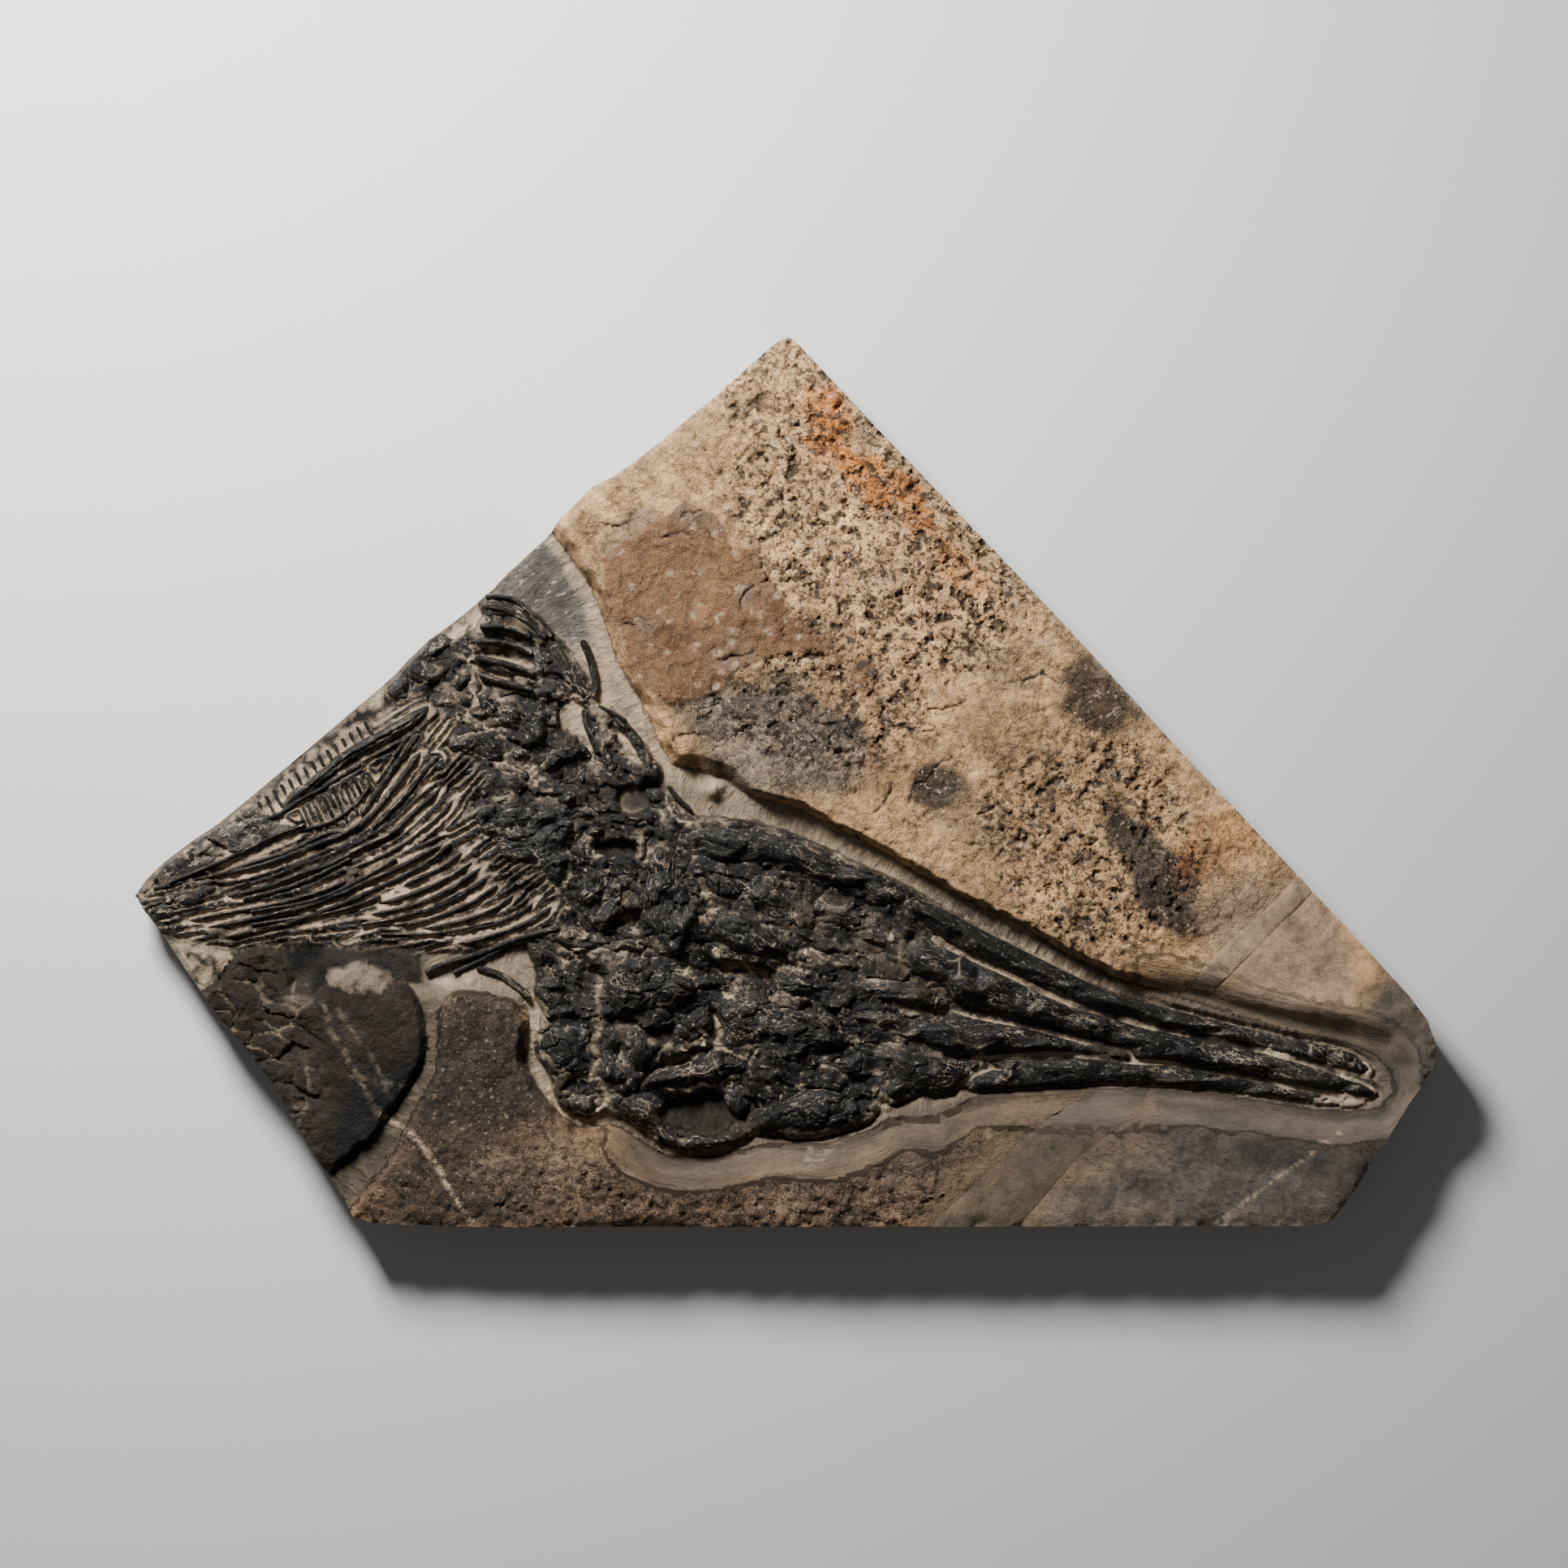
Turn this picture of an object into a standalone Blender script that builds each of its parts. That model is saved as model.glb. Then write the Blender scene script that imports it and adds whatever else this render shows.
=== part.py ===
# Fossil ichthyosaur skull and front body on a stone slab, lying flat on its back.
# X runs to the right, Y runs up the slab as it is looked at, Z points out of its face.
# All sizes below are in millimetres and are turned into metres as each mesh is made.
import math

import bmesh
import bpy
from mathutils import Vector, geometry, noise

MM = 0.001

# Driving sizes
SLAB_TOP = 50.0
FLOOR = 30.0
BONE_GAP = 0.3
SEAM_GAP = 0.2
EDGE_WEAR = 2.4
EDGE_WEAR_WIDTH = 4.5
WEAR_STEP = 30.0
PLATEAU_STEP = 21.0
PLATEAU_ROUGH = 1.5
SHOULDER = 2.6
EDGE_SHARE = 0.38

# Colours as linear red, green, blue
STONE = (0.30, 0.235, 0.165, 1.0)
SANDED_STONE = (0.27, 0.225, 0.18, 1.0)
FILLER = (0.38, 0.33, 0.25, 1.0)
BONE = (0.018, 0.017, 0.016, 1.0)
GREY_BONE = (0.035, 0.033, 0.031, 1.0)
STONE_ROUGHNESS = 0.85
BONE_ROUGHNESS = 0.42

# Slab outline, clockwise from the apex
SLAB_OUTLINE = [
    (-1, 273.2), (2.7, 274), (6.5, 272), (60, 215), (118, 154.5), (171.7, 98), (240, 23.5),
    (316.2, -57.4), (325, -67), (355, -99), (384, -130.5), (396, -146), (401.7, -163),
    (399.5, -176), (389, -193), (368, -226), (346.7, -258), (338, -268.5), (326.7, -273),
    (240, -273.1), (144, -273.3), (89, -273.5), (-50, -273.8), (-188, -274), (-253, -272),
    (-265.7, -268), (-272, -258), (-287, -234), (-318, -183), (-333, -163), (-355, -137), (-370, -117),
    (-388, -90), (-398, -77), (-401.7, -70), (-396, -61), (-385, -50), (-368, -37), (-350, -25),
    (-333, -11), (-308, 10), (-283, 31), (-268, 44), (-250, 59), (-240, 68), (-233, 76), (-220, 88),
    (-200, 103), (-180, 120), (-172, 129), (-160, 140), (-148, 151), (-138, 162), (-118, 182),
    (-103, 189.5), (-83, 204.5), (-43, 237), (-8, 268.5),
]

# Two sides of the repaired seam between the stones, from the top right edge to the bottom edge
SEAM_MAIN = [(316.2, -57.4), (300, -75), (279, -93), (257, -115), (248, -127), (236, -143),
             (222, -161), (208, -178), (192, -192), (165, -205), (125, -240), (89, -273.5)]
SEAM_SNOUT = [(325, -67), (305, -87), (277, -115), (264, -129), (250, -147), (240, -163),
              (232, -178), (226, -189), (220, -199), (176, -236), (144, -273.3)]

# Foot of the carved trough's wall as (x, y, width of the slope above it), from the top left
# edge, along the cliff, round the snout, under the jaw and the left groove to the bottom left
TROUGH = [
    (-152, 164, 6), (-141, 151, 6), (-133, 140, 6), (-121, 124, 7), (-114, 108, 6), (-109, 92, 6),
    (-104, 76, 6), (-94, 59, 7), (-84, 42, 7), (-77, 24, 7), (-69, 11, 8), (-58, 9, 9), (-46, 5, 9),
    (-34, 1, 8), (-20, -9, 5), (8, -16, 4), (33, -28.5, 4), (60, -42.5, 4), (87, -59, 4),
    (123, -78.5, 4), (143, -86.5, 4), (172, -104.5, 4), (203, -120, 5), (232, -129, 6),
    (262, -138, 8), (290, -147, 10), (320, -155, 12), (350, -161.5, 14), (366, -169, 15),
    (375, -180, 15), (376, -192, 15), (367, -202, 15), (350, -203.5, 14), (330, -203, 14),
    (300, -198, 14), (280, -195, 14), (255, -191.5, 14), (235, -190, 14), (215, -189, 14),
    (195, -189, 14), (170, -190.5, 13), (145, -192, 12), (120, -193.5, 12), (106, -200, 12),
    (92, -207, 12), (76, -206, 12), (63, -208, 12), (54, -214, 11), (40, -219, 10),
    (25, -223, 10), (8, -223.5, 10), (-10, -223, 10), (-25, -227, 10), (-40, -230, 9),
    (-58, -232, 8), (-74, -230, 8), (-86, -224, 7), (-98, -216, 6), (-108, -211.5, 5),
    (-118, -213, 4), (-127, -214, 4), (-133, -209, 4), (-140, -204, 4), (-147, -197, 4),
    (-153, -188, 4), (-159, -177, 4), (-162, -166, 4), (-160.5, -157, 4), (-158, -148, 4),
    (-160, -141, 4), (-170, -134, 4), (-183, -131, 4), (-196, -128, 4), (-206, -130, 4),
    (-212, -138, 4), (-214, -150, 4), (-214, -168, 4), (-216, -180, 4), (-224, -195, 4),
    (-233, -210, 4), (-239, -224, 4), (-248, -238, 4), (-258, -250, 4), (-267, -262, 4),
    (-276, -274, 4),
]

# Dark stone left standing in the lower left, as (x, y, width of its slope)
DARK_ISLAND = [
    (-372, -142, 5), (-361, -130, 5), (-350, -121, 5), (-343, -109, 5), (-335, -102, 5),
    (-325, -101, 5), (-313, -103, 5), (-306, -113, 5), (-302, -124, 5), (-292, -130, 4),
    (-284, -126, 4), (-279, -117, 4), (-270, -111, 4), (-258, -110, 4), (-248, -115, 4),
    (-240, -122, 4), (-232, -126, 4), (-226, -135, 4), (-222, -148, 4), (-221, -165, 4),
    (-224, -178, 4), (-232, -191, 4), (-242, -205, 4), (-252, -218, 4), (-264, -230, 4),
    (-276, -239, 4), (-288, -246, 4),
]

# Low rises and hollows of the stone as (x, y, radius, height change)
STONE_LUMPS = [
    (-270, -109, 13, 5.0), (-240, -110, 13, 4.0), (-300, -106, 10, 4.0),
    (48, -105, 6, 4.0), (-360, -108, 13, 5.0), (-43, -4, 7, 8.0),
]
PLATEAU_LUMPS = [
    (0, 230, 26, 1.6), (70, 150, 40, 1.8), (130, 90, 34, 1.4), (-70, 130, 42, -1.2),
    (-60, 80, 30, -1.0), (10, 70, 30, 0.9), (60, 20, 30, -1.4), (90, -20, 22, -1.8),
    (190, -20, 30, 1.2), (230, -60, 30, -1.3), (130, 20, 26, 1.2), (-48, 24, 17, -6.0),
    (330, -110, 30, -1.5), (370, -160, 26, -3.0), (300, -235, 50, -1.2), (-188, -160, 14, -2.0),
    (-120, -250, 40, 1.0), (-20, -250, 40, -1.5), (-175, -190, 22, 1.2), (180, -240, 30, -2.0),
]
# Points that keep the floor level where a raised piece of stone comes near a bone
FLOOR_MARKS = [
    (-156.5, -119), (-157, -134), (-156, -125), (-161, -110), (-162, -101), (-178, -99.5), (-195, -103.5),
    (-212, -103), (-228, -99), (-350, -98.5), (-338, -97), (-362, -94), (-146, -152), (-155, -148),
]
ISLAND_LUMPS = [
    (-322, -112, 9, -5.0), (-312, -128, 8, -4.0), (-335, -135, 12, 3.0), (-322, -150, 9, -3.5),
    (-305, -150, 10, 2.0), (-250, -150, 26, 2.0), (-262, -190, 26, 1.5), (-318, -172, 8, -3.0),
    (-292, -195, 10, -1.5),
]
# More points on the dark stone and beside it, where its surface changes slope
ISLAND_MARKS = [
    (-330, -106), (-345, -145), (-330, -160), (-300, -170), (-310, -185), (-290, -100), (-255, -100),
    (-220, -118), (-205, -122), (-236, -118),
]


# Plane geometry helpers
def inside(x, y, loop):
    hit = False
    for (ax, ay), (bx, by) in zip(loop, loop[1:] + loop[:1]):
        if (ay > y) != (by > y) and x < (bx - ax) * (y - ay) / (by - ay) + ax:
            hit = not hit
    return hit


def edge_distance(x, y, line, closed=True):
    best = 1e9
    ends = line[1:] + line[:1] if closed else line[1:]
    for (ax, ay), (bx, by) in zip(line, ends):
        dx, dy = bx - ax, by - ay
        t = max(0.0, min(1.0, ((x - ax) * dx + (y - ay) * dy) / max(dx * dx + dy * dy, 1e-9)))
        best = min(best, math.hypot(x - ax - t * dx, y - ay - t * dy))
    return best


def offset_line(line, amounts):
    # each point moves to the left of the line's direction
    moved = []
    for i, (x, y) in enumerate(line):
        ax, ay = line[max(i - 1, 0)]
        bx, by = line[min(i + 1, len(line) - 1)]
        length = math.hypot(bx - ax, by - ay)
        moved.append((x - (by - ay) / length * amounts[i], y + (bx - ax) / length * amounts[i]))
    return moved


def bump(x, y, lumps):
    return sum(rise * math.exp(-((x - cx) ** 2 + (y - cy) ** 2) / (r * r)) for cx, cy, r, rise in lumps)


def smooth(t):
    t = max(0.0, min(1.0, t))
    return t * t * (3 - 2 * t)


def smooth_curve(points, count):
    # even stations on a Catmull-Rom curve through the points
    ring = [points[0]] + list(points) + [points[-1]]
    fine = []
    for i in range(len(points) - 1):
        p0, p1, p2, p3 = (Vector(p) for p in ring[i:i + 4])
        for k in range(12):
            t = k / 12
            fine.append(0.5 * ((2 * p1) + (p2 - p0) * t + (2 * p0 - 5 * p1 + 4 * p2 - p3) * t * t
                               + (3 * p1 - p0 - 3 * p2 + p3) * t * t * t))
    fine.append(Vector(points[-1]))
    lengths = [0.0]
    for a, b in zip(fine, fine[1:]):
        lengths.append(lengths[-1] + (b - a).length)
    stations, k = [], 0
    for i in range(count):
        want = lengths[-1] * i / (count - 1)
        while k < len(fine) - 2 and lengths[k + 1] < want:
            k += 1
        span = max(lengths[k + 1] - lengths[k], 1e-9)
        stations.append(fine[k].lerp(fine[k + 1], (want - lengths[k]) / span))
    return stations


# Materials and objects
def material(name, colour, roughness):
    mat = bpy.data.materials.new(name + "_surface")
    mat.use_nodes = True
    shader = mat.node_tree.nodes["Principled BSDF"]
    shader.inputs["Base Color"].default_value = colour
    shader.inputs["Roughness"].default_value = roughness
    shader.inputs["Metallic"].default_value = 0.0
    return mat


def add_object(name, bm, colour, roughness):
    bmesh.ops.recalc_face_normals(bm, faces=bm.faces)
    mesh = bpy.data.meshes.new(name)
    bm.to_mesh(mesh)
    bm.free()
    mesh.materials.append(material(name, colour, roughness))
    obj = bpy.data.objects.new(name, mesh)
    bpy.context.scene.collection.objects.link(obj)


def relief_solid(name, outline, base, height_at, colour, roughness, points=(), lines=()):
    # a flat-bottomed solid whose top is a net of triangles through the given points
    coords, edges = [], []
    for line, closed in [(outline, True)] + [(line, False) for line in lines]:
        start = len(coords)
        coords += [Vector(p) for p in line]
        edges += [(start + i, start + i + 1) for i in range(len(line) - 1)]
        if closed:
            edges.append((start + len(line) - 1, start))
    coords += [Vector(p) for p in points]
    net = geometry.delaunay_2d_cdt(coords, edges, [], 0, 1e-3)
    verts, faces = net[0], net[2]
    bm = bmesh.new()
    top = [bm.verts.new((v.x * MM, v.y * MM, height_at(v.x, v.y) * MM)) for v in verts]
    for face in faces:
        mid = sum((verts[i] for i in face), Vector((0, 0))) / len(face)
        if inside(mid.x, mid.y, outline):
            bm.faces.new([top[i] for i in face])
    bmesh.ops.delete(bm, geom=[v for v in bm.verts if not v.link_faces], context="VERTS")
    rim = [e for e in bm.edges if len(e.link_faces) == 1]
    skirt = bmesh.ops.extrude_edge_only(bm, edges=rim)["geom"]
    low = [v for v in skirt if isinstance(v, bmesh.types.BMVert)]
    for v in low:
        v.co.z = base * MM
    bmesh.ops.holes_fill(bm, edges=[e for e in bm.edges if len(e.link_faces) == 1], sides=0)
    add_object(name, bm, colour, roughness)


# Height of the stone's face
TROUGH_FOOT = [(x, y) for x, y, w in TROUGH]
TROUGH_BRIM = offset_line(TROUGH_FOOT, [w for x, y, w in TROUGH])
TROUGH_AREA = TROUGH_FOOT + [(-500, -300), (-500, 200)]
BRIM_AREA = TROUGH_BRIM + [(-500, -300), (-500, 200)]
ISLAND_BRIM = [(x, y) for x, y, w in DARK_ISLAND]
ISLAND_TOP = offset_line(ISLAND_BRIM, [-w for x, y, w in DARK_ISLAND])
ISLAND_AREA = ISLAND_BRIM + [(-420, -300), (-420, -200)]
ISLAND_TOP_AREA = ISLAND_TOP + [(-420, -300), (-420, -200)]
GROOVE_RISE = 7.0
LUMP_FOOT = 1.32
FLOOR_STEP = 34.0
ISLAND_HEIGHT = 45.0


def stone_height(x, y):
    groove = GROOVE_RISE * smooth((-119 - y) / 14) * smooth((-160 - x) / 16)
    floor = FLOOR + groove
    for cx, cy, r, rise in STONE_LUMPS:
        d = math.hypot(x - cx, y - cy) / r
        floor += rise * smooth(1.6 - d * 1.3) if d < 1.3 else 0.0
    worn = EDGE_WEAR * math.exp(-edge_distance(x, y, SLAB_OUTLINE) / 1.6)
    rough = noise.noise(Vector((x / 23, y / 23, 4.2))) * PLATEAU_ROUGH
    brown = smooth((x + 118) / -30) * smooth((-120 - y) / 20)
    plateau = SLAB_TOP + bump(x, y, PLATEAU_LUMPS) + rough - 4.0 * brown
    if inside(x, y, TROUGH_AREA):
        if inside(x, y, ISLAND_TOP_AREA):
            lumpy = smooth((-255 - x) / 30) * 2.2 * noise.noise(Vector((x / 11, y / 11, 8.7)))
            return ISLAND_HEIGHT + bump(x, y, ISLAND_LUMPS) + lumpy - worn
        if inside(x, y, ISLAND_AREA):
            foot = edge_distance(x, y, ISLAND_BRIM, False)
            crown = edge_distance(x, y, ISLAND_TOP, False)
            return floor + (ISLAND_HEIGHT - floor) * foot / max(foot + crown, 1e-6) - worn
        return floor - 0.4 * worn
    foot = edge_distance(x, y, TROUGH_FOOT, False)
    if inside(x, y, BRIM_AREA):
        crown = edge_distance(x, y, TROUGH_BRIM, False)
        return floor + (plateau - floor) * foot / max(foot + crown, 1e-6) - worn
    dish = 6.0 * math.exp(-foot / 24) * smooth((x - 20) / 120) * smooth((-150 - y) / 60)
    snout = 6.5 * math.exp(-foot / 30) * smooth((x - 235) / 60)
    return plateau - max(dish, snout) - worn


def scatter(outline, step, keep_off):
    # a staggered grid of points inside an outline, moved a little by noise
    xs, ys = [p[0] for p in outline], [p[1] for p in outline]
    found, row, y = [], 0, min(ys)
    while y < max(ys):
        x = min(xs) + (step / 2 if row % 2 else 0)
        while x < max(xs):
            jx = x + noise.noise(Vector((x * 0.37, y * 0.41, 1.7))) * step * 0.5
            jy = y + noise.noise(Vector((x * 0.33, y * 0.39, 6.1))) * step * 0.5
            if inside(jx, jy, outline) and edge_distance(jx, jy, outline) > keep_off:
                found.append((jx, jy))
            x += step
        y += step * 0.866
        row += 1
    return found


def stone_piece(name, outline, colour, step):
    lines = [TROUGH_FOOT, TROUGH_BRIM]
    flat = []
    for x, y in scatter(outline, step, 6.0):
        near = min(edge_distance(x, y, line, False) for line in lines)
        in_trough = inside(x, y, TROUGH_AREA)
        on_island = inside(x, y, ISLAND_TOP_AREA) and in_trough
        if near > step * 0.35 and (not in_trough or on_island):
            flat.append((x, y))
    if inside(-300, -200, outline):
        lines += [ISLAND_BRIM, ISLAND_TOP]
        flat += [(x, y) for x, y, r, rise in STONE_LUMPS + ISLAND_LUMPS]
        for cx, cy, r, rise in STONE_LUMPS:
            flat += [(cx + r * LUMP_FOOT * math.cos(k * math.pi / 4),
                      cy + r * LUMP_FOOT * math.sin(k * math.pi / 4)) for k in range(8)]
        flat += [(x, y) for x, y in scatter(outline, FLOOR_STEP, 8.0)
                 if inside(x, y, TROUGH_AREA) and not inside(x, y, ISLAND_AREA)]
        flat += [(x, y) for x, y, r, rise in PLATEAU_LUMPS if inside(x, y, outline)]
        flat += FLOOR_MARKS + ISLAND_MARKS
    worn = []
    for (ax, ay), (bx, by) in zip(outline, outline[1:] + outline[:1]):
        on_seam = edge_distance((ax + bx) / 2, (ay + by) / 2, SLAB_OUTLINE) > 1.0
        length = math.hypot(bx - ax, by - ay)
        if on_seam or length < 2 * EDGE_WEAR_WIDTH:
            continue
        count = max(1, round(length / WEAR_STEP))
        for k in range(count):
            t = (k + 0.5) / count
            px = ax + (bx - ax) * t + (by - ay) / length * EDGE_WEAR_WIDTH
            py = ay + (by - ay) * t - (bx - ax) / length * EDGE_WEAR_WIDTH
            if inside(px, py, outline):
                worn.append((px, py))
    relief_solid(name, outline, 0.0, stone_height, colour, STONE_ROUGHNESS, flat + worn, lines)


def between(outline, start, stop):
    # the run of outline points after start up to and before stop
    i, j = outline.index(start), outline.index(stop)
    return outline[i + 1:j] if i < j else outline[i + 1:] + outline[:j]


def build_stones():
    top_main, top_snout = SEAM_MAIN[0], SEAM_SNOUT[0]
    low_main, low_snout = SEAM_MAIN[-1], SEAM_SNOUT[-1]
    main_side = offset_line(SEAM_MAIN, [-SEAM_GAP] * len(SEAM_MAIN))
    snout_side = offset_line(SEAM_SNOUT, [SEAM_GAP] * len(SEAM_SNOUT))
    main = main_side + between(SLAB_OUTLINE, low_main, top_main)
    snout = list(reversed(snout_side)) + between(SLAB_OUTLINE, top_snout, low_snout)
    middle = list(SEAM_SNOUT) + list(reversed(SEAM_MAIN))
    stone_piece("slab_main", main, STONE, PLATEAU_STEP)
    stone_piece("slab_snout_end", snout, SANDED_STONE, PLATEAU_STEP * 1.2)
    stone_piece("repair_filler", middle, FILLER, PLATEAU_STEP)


# Bones: outline, height, lumps (x, y, radius, rise) and ridges (line, rise, width)
def bone(name, outline, height, lumps=(), ridges=(), step=9.0, fall=None, colour=BONE):
    base = FLOOR + BONE_GAP

    def height_at(x, y):
        d = edge_distance(x, y, outline)
        tall = height
        if fall:
            x0, x1, share = fall
            tall *= 1 + (share - 1) * max(0.0, min(1.0, (x - x0) / (x1 - x0)))
        z = tall * (EDGE_SHARE + (1 - EDGE_SHARE) * (1 - math.exp(-d / SHOULDER)))
        soft = smooth(d / 3.0)
        z += bump(x, y, lumps) * soft
        for line, rise, width in ridges:
            away = edge_distance(x, y, line, False) / width
            z += rise * math.exp(-away * away) * soft
        z += noise.noise(Vector((x / 7, y / 7, 2.4))) * 0.09 * height * soft
        return base + max(z, 1.6)

    marks = [(x, y) for x, y, r, rise in lumps]
    for line, rise, width in ridges:
        marks += line
    keep = [p for p in marks if inside(p[0], p[1], outline)
            and edge_distance(p[0], p[1], outline) > 1.2]
    for p in scatter(outline, step, 2.2):
        if all(math.hypot(p[0] - q[0], p[1] - q[1]) > step * 0.45 for q in keep):
            keep.append(p)
    relief_solid(name, outline, base, height_at, colour, BONE_ROUGHNESS, keep)


def rib(name, path, width, height, stations=11, start=0.5, end=0.5, colour=BONE):
    # a D-shaped bar swept along a curve, thinner at both ends
    base = (FLOOR + BONE_GAP) * MM
    centres = smooth_curve([Vector(p) for p in path], stations)
    bm = bmesh.new()
    rings = []
    for i, c in enumerate(centres):
        along = centres[min(i + 1, stations - 1)] - centres[max(i - 1, 0)]
        side = Vector((-along.y, along.x)).normalized()
        share = 1.0
        if i == 0:
            share = start
        elif i == stations - 1:
            share = end
        wobble = 1 + 0.12 * noise.noise(Vector((c.x / 9, c.y / 9, 5.5)))
        half, tall = width / 2 * share, height * share * wobble
        ring = []
        for across, up in ((1.0, 0.0), (0.96, 0.5), (0.3, 1.0), (-0.5, 0.86), (-1.0, 0.0)):
            p = c + side * half * across
            ring.append(bm.verts.new((p.x * MM, p.y * MM, base + tall * up * MM)))
        rings.append(ring)
    for a, b in zip(rings, rings[1:]):
        for k in range(5):
            bm.faces.new((a[k], a[(k + 1) % 5], b[(k + 1) % 5], b[k]))
    bm.faces.new(rings[0])
    bm.faces.new(rings[-1])
    add_object(name, bm, colour, BONE_ROUGHNESS)


def build_jaws():
    bone("upper_jaw_bar", [
        (-108, -22.5), (-93, -21.5), (-82, -22.5), (-60, -24), (-45, -22.5), (-30, -24), (-15, -27),
        (0, -31), (20, -39), (40, -49), (60, -57.5), (80, -68), (120, -90), (160, -110),
        (180, -120), (200, -129), (240, -141), (280, -151), (320, -160.5), (340, -163.5),
        (352, -168), (361, -174), (366, -180), (361, -182), (335, -175), (300, -165), (260, -156),
        (220, -147.5), (180, -136), (160, -127.5), (140, -117.5), (120, -108.5), (100, -99),
        (85, -89), (70, -80), (60, -77), (50, -72), (40, -67), (20, -61), (8, -56), (-5, -52),
        (-30, -50), (-50, -50), (-62, -46), (-70, -38), (-78, -33), (-90, -31.5), (-108, -31.5)],
        15, step=13, fall=(60, 360, 0.55),
        lumps=[(-40, -33, 14, 1.5), (-62, -38, 8, -3.0), (-90, -26, 7, -2.5), (10, -46, 9, 1.5)],
        ridges=[([(0, -42), (40, -59), (80, -76), (120, -98), (160, -117), (200, -134),
                  (240, -146), (280, -156), (320, -166), (345, -172)], 2.2, 3.5)])
    bone("middle_jaw_bar", [
        (72, -84), (85, -92.5), (100, -102.5), (120, -112.5), (140, -121.5), (160, -131.5),
        (180, -140), (200, -145.5), (220, -151.5), (260, -160), (300, -168.5), (335, -178.5),
        (355, -185.5), (366, -191), (368, -194), (362, -195.5), (340, -192), (300, -184),
        (262, -177), (235, -172), (217, -171), (214, -165), (200, -160.5), (180, -155),
        (160, -149), (140, -144.5), (120, -139), (104, -134.5), (97, -127), (88, -121.5), (76, -118.5),
        (71, -112), (72, -100), (69, -91)],
        14.5, step=13, fall=(120, 365, 0.62),
        lumps=[(85, -108, 8, 2.0), (130, -122, 9, 1.6), (110, -128, 7, 1.2), (228, -160, 8, 1.8)],
        ridges=[([(75, -90), (100, -108), (130, -124), (160, -138), (190, -148)], 2.0, 4.0),
                ([(215, -158), (250, -167), (290, -174), (330, -182), (355, -188)], 1.6, 3.5),
                ([(112, -135), (150, -143), (185, -153)], -3.0, 4.0)])
    bone("lower_jaw_bar", [
        (126, -172.5), (145, -170.5), (178, -170.3), (200, -172.3), (215, -174.5), (235, -175),
        (262, -180), (300, -187), (340, -195), (355, -197.6), (361, -199.5), (352, -201),
        (330, -199.5), (300, -194.5), (280, -192), (250, -188.5), (220, -187), (200, -186),
        (170, -188), (140, -189.5), (116, -191), (110, -188), (118, -182), (131, -177)],
        12.5, step=10, fall=(160, 355, 0.5),
        ridges=[([(140, -175), (180, -174), (220, -178), (260, -183), (300, -190)], 1.8, 2.5),
                ([(150, -184), (190, -182), (230, -184)], -2.0, 3.0)])
    bone("jaw_side_plate", [
        (40, -140), (58, -138.5), (75, -142), (95, -144.5), (104, -142), (118, -146.5), (140, -150.5),
        (160, -155), (178, -160), (195, -164.5), (204, -167.5), (178, -167), (158, -166.8),
        (140, -168), (124, -169.5), (108, -168.5), (95, -164.5), (80, -160.5), (60, -156.5),
        (43, -154), (37.5, -147)],
        12.5, step=10,
        lumps=[(125, -156, 8, 2.0), (70, -148, 6, -2.5), (145, -161, 5, -1.5)],
        ridges=[([(45, -144), (70, -146), (100, -152), (135, -158), (170, -163)], 2.0, 3.0)])
    bone("jaw_flake", [
        (18, -172.5), (28, -168.5), (40, -166.5), (43, -158.5), (58, -159.5), (78, -163.5), (92, -168),
        (107, -171.5), (122, -173.5), (116, -180), (108, -186), (104, -192), (92, -195),
        (85, -191), (79, -195), (72, -198), (60, -197), (56, -190), (63, -185.5), (52, -184), (36, -183),
        (22, -181)],
        11.5, step=10,
        lumps=[(42, -176, 8, 2.4), (68, -191, 6, 2.0), (66, -172, 6, -2.0), (92, -180, 7, 1.8)],
        ridges=[([(45, -163), (70, -170), (95, -176)], 2.2, 3.0),
                ([(55, -180), (75, -184), (88, -188)], -2.5, 3.0)])
    bone("jaw_angle_plate", [
        (-22, -207), (-8, -198.5), (5, -192), (15, -188.5), (25, -187.5), (38, -191.5), (48, -197.5),
        (57, -200), (58, -204), (52, -209.5), (40, -214.5), (25, -218.5), (12, -220), (0, -218.5),
        (-10, -217.5), (-20, -214)],
        13.0, step=10,
        lumps=[(20, -204, 14, 2.5), (-5, -208, 8, 1.5)],
        ridges=[([(-8, -204), (10, -197), (30, -195), (45, -201)], 2.2, 3.0),
                ([(-5, -212), (15, -212), (35, -208)], -2.0, 3.0)])


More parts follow.
